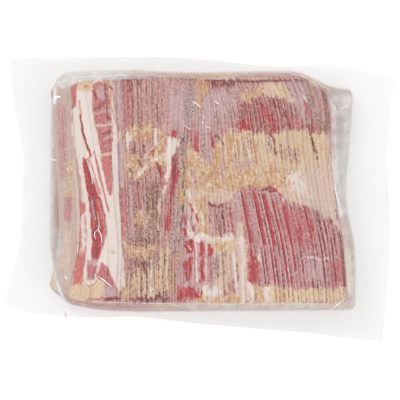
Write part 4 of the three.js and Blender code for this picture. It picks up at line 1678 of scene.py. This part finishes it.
@dataclass
class FilmSkin:
    """The pouch's film: one closed skin, shrunk onto the slices and welded flat around them."""

    finish: BarrierFilm
    runs: tuple[SliceRun, ...]
    grain: Grain
    margin_columns: int = 9
    wall_columns: int = 14
    foot_columns: int = 7
    slope_columns: int = 13
    ledge_columns: int = 8
    gathered: float = 0.6
    face_rows: int = 150
    relief_share: float = 0.6
    edge_relief: float = 0.35
    relief_fade: float = 5.0
    strip: float = 2.6
    fold_height: float = 0.9
    fold_width: float = 3.5
    fold_start: float = 4.0
    clear_veil: float = 0.015

    def columns(self) -> list[tuple[PlanLine, float]]:
        """All upright lines of the skin's grid, each with the depth of the film's step there.

        Returns:
            Lines from left to right.
        """
        foot, face = SHAPE.foot, SHAPE.face
        lines = self.between(SHAPE.pouch_left, foot.left, self.margin_columns, -self.gathered)
        lines += self.between(foot.left, self.slope_foot, self.foot_columns, self.gathered)
        lines += self.between(self.slope_foot, face.left, self.slope_columns, self.gathered)
        lines.append((face.left, 0.0))
        for run in self.runs:
            for index in range(len(run.shares)):
                lines += self.over_slice(run, index)
        lines += self.between(face.right, self.wall_foot, self.ledge_columns, -self.gathered)[1:]
        lines += self.between(self.wall_foot, foot.right, self.ledge_columns, -self.gathered)
        lines += self.between(foot.right, SHAPE.pouch_right, self.margin_columns, self.gathered)
        lines.append((SHAPE.pouch_right, 0.0))
        return lines

    def slope_foot(self, y: Plan) -> Plan:
        """Where the slope at the pack's left starts to rise."""
        return np.maximum(SHAPE.foot.left(y) + 1, SHAPE.face.left(y) - LEFT_SLOPE)

    def wall_foot(self, y: Plan) -> Plan:
        """Where the upper layer's wall at the right meets the ledge."""
        right = SHAPE.face.right(y)
        return right + np.minimum(WALL_SLOPE, 0.85 * (SHAPE.foot.right(y) - right))

    def between(self, start: PlanLine, end: PlanLine, count: int,
                gathered: float) -> list[tuple[PlanLine, float]]:
        """Spread lines from start up to but not including end.

        Args:
            start: The first line.
            end: The line that they lead up to.
            count: How many there are.
            gathered: How much closer they stand near the start, or near the end if it is negative.

        Returns:
            The lines, with no step in the film.
        """
        shares = np.arange(count) / count
        shares = shares ** (1 + gathered) if gathered >= 0 else 1 - (1 - shares) ** (1 - gathered)
        return [(lambda y, s=float(share): mix(start(y), end(y), s), 0.0) for share in shares]

    def over_slice(self, run: SliceRun, index: int) -> list[tuple[PlanLine, float]]:
        """The lines over one slice, from just past its crease to its free edge.

        Args:
            run: The slice's run.
            index: Its place in the run.

        Returns:
            Lines with the film's depth.
        """
        drop = run.drop(index - 1) if index > 0 else run.step * 0.6
        wide = float(np.mean(run.edge(index, np.zeros(1)) - run.edge(index - 1, np.zeros(1))))
        inner = max(1, round(wide / self.strip) - 1)
        shares = [0.0] + [(step + 1) / (inner + 1) for step in range(inner)] + [1.0]

        def line(y: Plan, share: float) -> Plan:
            start = run.edge(index - 1, y) + STEP_WIDTH
            return mix(start, np.maximum(run.edge(index, y), start + 0.4), share)

        return [(lambda y, s=share: line(y, s), -drop * (1 - share) * self.relief_share) for share in shares]

    def rows(self) -> list[PlanLine]:
        """All level lines of the skin's grid, from bottom to top."""
        foot, face = SHAPE.foot, SHAPE.face
        bands = (
            (SHAPE.pouch_bottom, foot.bottom, self.margin_columns, -self.gathered),
            (foot.bottom, face.bottom, self.wall_columns, self.gathered),
            (face.bottom, face.top, self.face_rows, 0.0),
            (face.top, foot.top, self.wall_columns, -self.gathered),
            (foot.top, SHAPE.pouch_top, self.margin_columns, self.gathered),
        )
        lines = [line for band in bands for line, _ in self.between(*band)]
        return lines + [SHAPE.pouch_top]

    def crossings(self, columns: list[tuple[PlanLine, float]], rows: list[PlanLine]) -> tuple[Plan, Plan]:
        """Where the grid's upright and level lines cross.

        Args:
            columns: The upright lines.
            rows: The level lines.

        Returns:
            X and Y by column and row.
        """
        x = np.repeat(np.array([column(np.zeros(1))[0] for column, _ in columns])[:, None], len(rows), axis=1)
        y = np.zeros_like(x)
        for _ in range(7):
            for index, row in enumerate(rows):
                y[:, index] = row(x[:, index])
            for index, (column, _) in enumerate(columns):
                x[index] = column(y[index])
        return x, y

    def build(self) -> bpy.types.Object:
        """Make the skin.

        Returns:
            The film's object.
        """
        columns, rows = self.columns(), self.rows()
        x, y = self.crossings(columns, rows)
        relief = np.array([depth for _, depth in columns])[:, None]
        inward = SHAPE.face.inside(x, y) * WALL_SLOPE
        share = np.clip(SHAPE.foot.inside(x, y), 0, 1) * mix(
            self.edge_relief, 1.0, smooth(inward, 0.0, self.relief_fade))
        over = np.maximum(SHAPE.height(x, y) + relief * share, SHAPE.margin(x, y) + WELD_THICKNESS / 2)
        under = SHAPE.underside(x, y)
        fold = self.folds(x, y)
        over = over + fold
        under = np.maximum(under + np.where(SHAPE.foot.inside(x, y) < 0, fold, 0.0), 0.0)
        batch = SheetBatch("pouch_film", len(columns) - 1, len(rows) - 1, 1)
        pair_x, pair_y = two_sided(x)[None], two_sided(y)[None]
        batch.set_points(pair_x, pair_y, np.stack([over, under], axis=-1)[None])
        batch.set_values({"milk": self.milk(batch.spread(pair_x), batch.spread(pair_y))})
        return batch.finish(self.finish.material())

    def folds(self, x: Plan, y: Plan) -> Plan:
        """The height of the margin's soft folds.

        Args:
            x: Plan positions.
            y: Plan positions.

        Returns:
            Heights in millimetres.
        """
        across, down = to_photo(x, y)
        height = np.zeros_like(x)
        for mark in MARGIN_FOLDS:
            away = distance_to(mark.points, across, down)
            fold = self.fold_height * mark.value * (1 - smooth(away, 0.0, self.fold_width))
            height = np.maximum(height, fold)
        return height * smooth(-SHAPE.foot.inside(x, y) * FOOT_SLOPE, 0.0, self.fold_start)

    def milk(self, x: Plan, y: Plan) -> Plan:
        """How much of what lies below the film hides, at plan positions.

        Args:
            x: Plan positions.
            y: Plan positions.

        Returns:
            From 0, clear, to 1.
        """
        across, down = to_photo(x, y)
        inward = SHAPE.face.inside(x, y) * WALL_SLOPE
        streaky = 1 + 0.28 * self.grain.at(x / 7, y / 7) + 0.14 * self.grain.at(x / 2, y / 2)
        value = self.spread_milk(MILKY_WALLS, across, down) * (1 - smooth(inward, -1.2, 0.8)) * streaky
        # The painted sheen over the top is added to the film's milkiness.
        value = value + self.spread_milk(FILM_SHEEN_HAZE, across, down) + self.clear_veil
        return mix(self.clear_veil, value, smooth(SHAPE.foot.inside(x, y), -0.15, 0.35))

    def spread_milk(self, marks: tuple, across: Plan, down: Plan) -> Plan:
        """The strongest of some milky marks at photo positions.

        Args:
            marks: Patches and streaks.
            across: Photo positions.
            down: Photo positions.

        Returns:
            How milky each position is.
        """
        value = np.zeros(across.shape)
        for mark in marks:
            value = np.maximum(value, mark.value * mark.cover(across, down))
        return value


@dataclass
class FilmCreases:
    """Small raised creases on the film, each a tapering closed ridge painted white as a glint."""

    finish: GlintFilm
    stations: int = 16
    columns: int = 4
    height: float = 0.35
    thickness: float = 0.15
    lift: float = 0.1

    def build(self) -> bpy.types.Object:
        """Make all creases as one piece.

        Returns:
            Their object.
        """
        batch = SheetBatch("film_glints", self.columns, self.stations, len(FILM_GLINTS))
        grids = [self.ridge(mark) for mark in FILM_GLINTS]
        x, y, z = (np.stack([grid[axis] for grid in grids]) for axis in range(3))
        batch.set_points(x, y, z)
        # How white each painted glint is.
        milk = np.stack([np.full(x.shape[1:], mark.value) for mark in FILM_GLINTS])
        batch.set_values({"milk": batch.spread(milk)})
        return batch.finish(self.finish.material())

    def ridge(self, mark: Streak) -> tuple[Plan, Plan, Plan]:
        """Lay one crease along its path.

        Args:
            mark: The crease in photo units.

        Returns:
            X, Y and Z by column, row and side.
        """
        points = np.array([to_plan(*point) for point in mark.points])
        length = np.concatenate([[0], np.cumsum(np.hypot(*np.diff(points, axis=0).T))])
        at = np.linspace(0, length[-1], self.stations + 1)
        centre_x = np.interp(at, length, points[:, 0])
        centre_y = np.interp(at, length, points[:, 1])
        run_x, run_y = np.gradient(centre_x), np.gradient(centre_y)
        norm = np.maximum(np.hypot(run_x, run_y), 1e-6)
        taper = np.sin(np.pi * np.clip(np.linspace(0.04, 0.96, self.stations + 1), 0, 1)) ** 0.6
        side = np.linspace(1, -1, self.columns + 1)[:, None] * mark.width * PHOTO_UNIT / 2 * taper[None, :]
        x = centre_x[None, :] - run_y / norm * side
        y = centre_y[None, :] + run_x / norm * side
        arch = (1 - np.linspace(-1, 1, self.columns + 1) ** 2)[:, None] * taper[None, :]
        base = np.maximum(SHAPE.height(x, y), SHAPE.margin(x, y) + WELD_THICKNESS / 2)
        over = base + self.lift + self.height * arch
        return two_sided(x), two_sided(y), np.stack([over, over - self.thickness], axis=-1)


@dataclass
class Contents:
    """The bacon: the flat slices and the two stacks of the upper layer, and the lower layer under them."""

    finish: CuredBelly
    marbling: Marbling
    grain: Grain
    core_columns: int = 130
    core_rows: int = 100
    core_inset: float = 1.0
    core_room: float = 3.5
    core_gap: float = 1.3
    core_depth: float = 3.6
    core_pitch: float = 4.6

    def build(self) -> list[bpy.types.Object]:
        """Make all slices.

        Returns:
            The pieces.
        """
        material = self.finish.material()
        pieces = [*self.flat_part(), *self.stacks(), *self.lower_part(), self.core()]
        return [piece.finish(material) for piece in pieces]

    def flat_part(self) -> list[SheetBatch]:
        """The slices that lie face up at the left, and those on the slope beside them.

        Returns:
            The sheets.
        """
        doubled = (Buried(0.0, 0.0), Buried(1.9, 1.6), Buried(3.8, 2.4))
        slope_run = SliceRun(self.slope_start, SHAPE.face.left, np.array([0.42, 0.8, 1.0]),
                             upright(0, 0, 0, 0, 0, 0, 0), 0.7, 600, 60)
        slope = SliceBuilder(slope_run, self.marbling, self.grain, along=150, exposed=9, on_slope=True)
        flat = SliceBuilder(FLAT_RUN, self.marbling, self.grain, exposed=22, along=240)
        under = SliceBuilder(FLAT_RUN, self.marbling, self.grain, exposed=4, along=80)
        return [
            slope.build("slope_slices", [0, 1, 2], doubled),
            flat.build("flat_slices", [0, 1, 2, 3], PLAIN),
            under.build("flat_slices_under", [0, 1, 2, 3], doubled[1:] + (Buried(5.7, 3.0),)),
        ]

    def stacks(self) -> list[SheetBatch]:
        """The two runs of overlapping slices, and the edges of the slices in the right wall.

        Returns:
            The sheets.
        """
        left = SliceBuilder(LEFT_RUN, self.marbling, self.grain, along=260, exposed=8, slip=2.2)
        right = SliceBuilder(RIGHT_RUN, self.marbling, self.grain, along=260, exposed=8, slip=2.0)
        side = SliceBuilder(RIGHT_RUN, self.marbling, self.grain, along=110, exposed=5, slip=2.0)
        wall = tuple(Buried(1.9 * depth, self.wall_inset(2 * LAYER_HEIGHT - 1.9 * depth, False))
                     for depth in range(1, 12))
        return [
            left.build("left_stack", list(range(14)), PLAIN),
            *(right.build(f"right_stack_{part + 1}", list(range(part * 12, part * 12 + 12)), PLAIN)
              for part in range(3)),
            side.build("right_stack_side", [35], wall),
        ]

    def lower_part(self) -> list[SheetBatch]:
        """The lower layer, with the edges of its slices in the right wall.

        Returns:
            The sheets.
        """
        run = SliceRun(self.lower_start, SHAPE.foot.right, even_shares(58, 700),
                       upright(-9, -6, -3, 0, 3, 6, 9), 1.4, 800, 800)
        lower = SliceBuilder(run, self.marbling, self.grain, along=64, exposed=4, thickness=2.1, tilt=0.42,
                             lower_layer=True)
        wall = tuple(Buried(2.1 * depth, self.wall_inset(LAYER_HEIGHT - 2.1 * depth, True))
                     for depth in range(1, 10))
        return [
            lower.build("lower_layer", list(range(58)), PLAIN),
            lower.build("lower_layer_side", [57], wall),
        ]

    def core(self) -> SheetBatch:
        """The meat deep in both layers, as one block behind the slices that show.

        Returns:
            The block.
        """
        batch = SheetBatch("inner_slices", self.core_columns, self.core_rows, 1)
        inset = self.core_inset
        across = (0.5 - 0.5 * np.cos(np.linspace(0, math.pi, self.core_columns + 1)))[:, None]
        along = (0.5 - 0.5 * np.cos(np.linspace(0, math.pi, self.core_rows + 1)))[None, :]
        y = mix(SHAPE.foot.bottom(np.zeros(1)), SHAPE.foot.top(np.zeros(1)), along) + 0 * across
        for _ in range(5):
            left = np.minimum(SHAPE.foot.left(y), SHAPE.face.left(y) - LEFT_SLOPE)
            x = mix(left + inset, SHAPE.foot.right(y) - inset, across)
            y = mix(SHAPE.foot.bottom(x) + inset, SHAPE.foot.top(x) - inset, along)
        for _ in range(18):
            room = SHAPE.height_around(x, y, 0.5) - SHAPE.underside(x, y)
            x, y = towards_middle(x, y, 0.6 * np.clip(self.core_room - room, 0, 1))
        inner = smooth(SHAPE.face.inside(x, y) * WALL_SLOPE, -1.0, 2.0)
        under = SHAPE.underside(x, y) + mix(0.15, 0.5, smooth(SHAPE.foot.inside(x, y), 0.0, 0.1))
        over = SHAPE.height_around(x, y, self.core_inset) - mix(self.core_gap, self.core_depth, inner)
        over = np.maximum(over, under + 0.1)
        pair_x, pair_y = two_sided(x)[None], two_sided(y)[None]
        batch.set_points(pair_x, pair_y, np.stack([over, under], axis=-1)[None])
        flat_x, flat_y = batch.spread(pair_x), batch.spread(pair_y)
        slice_number = np.floor(flat_x / self.core_pitch)
        values = self.marbling.surface(self.marbling.belly(flat_x, flat_y, slice_number))
        values["gap"] = values["own"] = np.full(flat_x.shape, 3.0)
        batch.set_values(values)
        return batch

    def slope_start(self, y: Plan) -> Plan:
        """Where the slope at the pack's left begins."""
        return SHAPE.face.left(y) - LEFT_SLOPE + 2

    def lower_start(self, y: Plan) -> Plan:
        """Where the lower layer's slices begin."""
        return SHAPE.foot.left(y) + 2.5

    def wall_inset(self, height: float, lower_layer: bool) -> float:
        """How far a sheet in the right wall stands in from the run's last edge.

        Args:
            height: The sheet's height.
            lower_layer: Whether it lies in the lower layer.

        Returns:
            A distance in millimetres, negative outwards.
        """
        if lower_layer:
            under = max(FOOT_SLOPE * float(setback(np.array(height / LAYER_HEIGHT))),
                        FOOT_ROUND * float(setback(np.array(1 - height / SEAM_HEIGHT))))
            return under + 0.4
        over = np.array((height - LAYER_HEIGHT) / LAYER_HEIGHT)
        return 0.9 - WALL_SLOPE * float(1 - setback(over))


@dataclass
class Studio:
    """The plain white floor, the soft lights and the camera."""

    paper: StudioPaper
    camera_height: float = 12.0
    frame_width: float = 0.42
    floor_size: float = 30.0
    world_strength: float = 0.95
    sensor: float = 36.0
    measured_height: float = 0.03

    def build(self) -> None:
        """Set everything up round the pack."""
        self.floor()
        self.world()
        self.lamp("key_light", (-1.6, 1.8, 2.6), 1.6, 26.0)
        self.lamp("fill_light", (2.0, -1.4, 2.4), 2.0, 18.0)
        self.camera()
        bpy.context.scene.view_settings.view_transform = "Standard"
        bpy.context.scene.view_settings.look = "None"

    def floor(self) -> None:
        """Lay the paper."""
        sheet = bmesh.new()
        bmesh.ops.create_grid(sheet, x_segments=2, y_segments=2, size=self.floor_size / 2)
        bmesh.ops.translate(sheet, verts=sheet.verts[:], vec=(0, 0, -0.3 * MM))
        mesh = bpy.data.meshes.new("studio_floor")
        sheet.to_mesh(mesh)
        sheet.free()
        mesh.materials.append(self.paper.material())
        floor = bpy.data.objects.new("studio_floor", mesh)
        bpy.context.scene.collection.objects.link(floor)

    def world(self) -> None:
        """Light the scene evenly with white."""
        world = bpy.data.worlds.new("studio_world")
        world.use_nodes = True
        world.node_tree.nodes.clear()
        light = add_node(world.node_tree, "ShaderNodeBackground", {
            "Color": (1, 1, 1, 1), "Strength": self.world_strength})
        add_node(world.node_tree, "ShaderNodeOutputWorld", {"Surface": light.outputs[0]})
        bpy.context.scene.world = world

    def lamp(self, name: str, place: tuple[float, float, float], size: float, power: float) -> None:
        """Hang a square softbox that points at the pack.

        Args:
            name: The light's name.
            place: Where it hangs, in metres.
            size: Its side, in metres.
            power: Its power in watts.
        """
        data = bpy.data.lights.new(name, "AREA")
        data.size = size
        data.energy = power
        lamp = bpy.data.objects.new(name, data)
        lamp.location = place
        reach = math.sqrt(sum(part * part for part in place))
        lamp.rotation_mode = "XYZ"
        lamp.rotation_euler = (math.acos(place[2] / reach), 0, math.atan2(place[1], place[0]) + math.pi / 2)
        lamp.visible_camera = False
        bpy.context.scene.collection.objects.link(lamp)

    def camera(self) -> None:
        """Look straight down, as in the photo."""
        data = bpy.data.cameras.new("camera")
        data.sensor_width = self.sensor
        data.sensor_fit = "AUTO"
        data.lens = self.sensor * (self.camera_height - self.measured_height) / self.frame_width
        data.clip_end = 60.0
        camera = bpy.data.objects.new("camera", data)
        middle = to_plan(200.0, 200.0)
        camera.location = ((middle[0] + ROW_SHIFT[0]) * MM, (middle[1] + ROW_SHIFT[1]) * MM,
                           self.camera_height)
        bpy.context.scene.collection.objects.link(camera)
        bpy.context.scene.camera = camera


def main() -> None:
    """Build the pack's pieces in order."""
    logging.basicConfig(level=logging.INFO, format="%(name)s: %(message)s")
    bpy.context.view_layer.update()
    Studio(StudioPaper()).build()
    marbling = Marbling(seed=11)
    contents = Contents(CuredBelly(), marbling, Grain(23)).build()
    film = FilmSkin(BarrierFilm(), (FLAT_RUN, LEFT_RUN, RIGHT_RUN), Grain(47)).build()
    creases = FilmCreases(GlintFilm()).build()
    for piece in [*contents, film, creases]:
        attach(piece, "root")
        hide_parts(CAD_NODE)
        log.info("%s: %d faces", piece.name, len(piece.data.polygons))


if __name__ == "__main__":
    main()
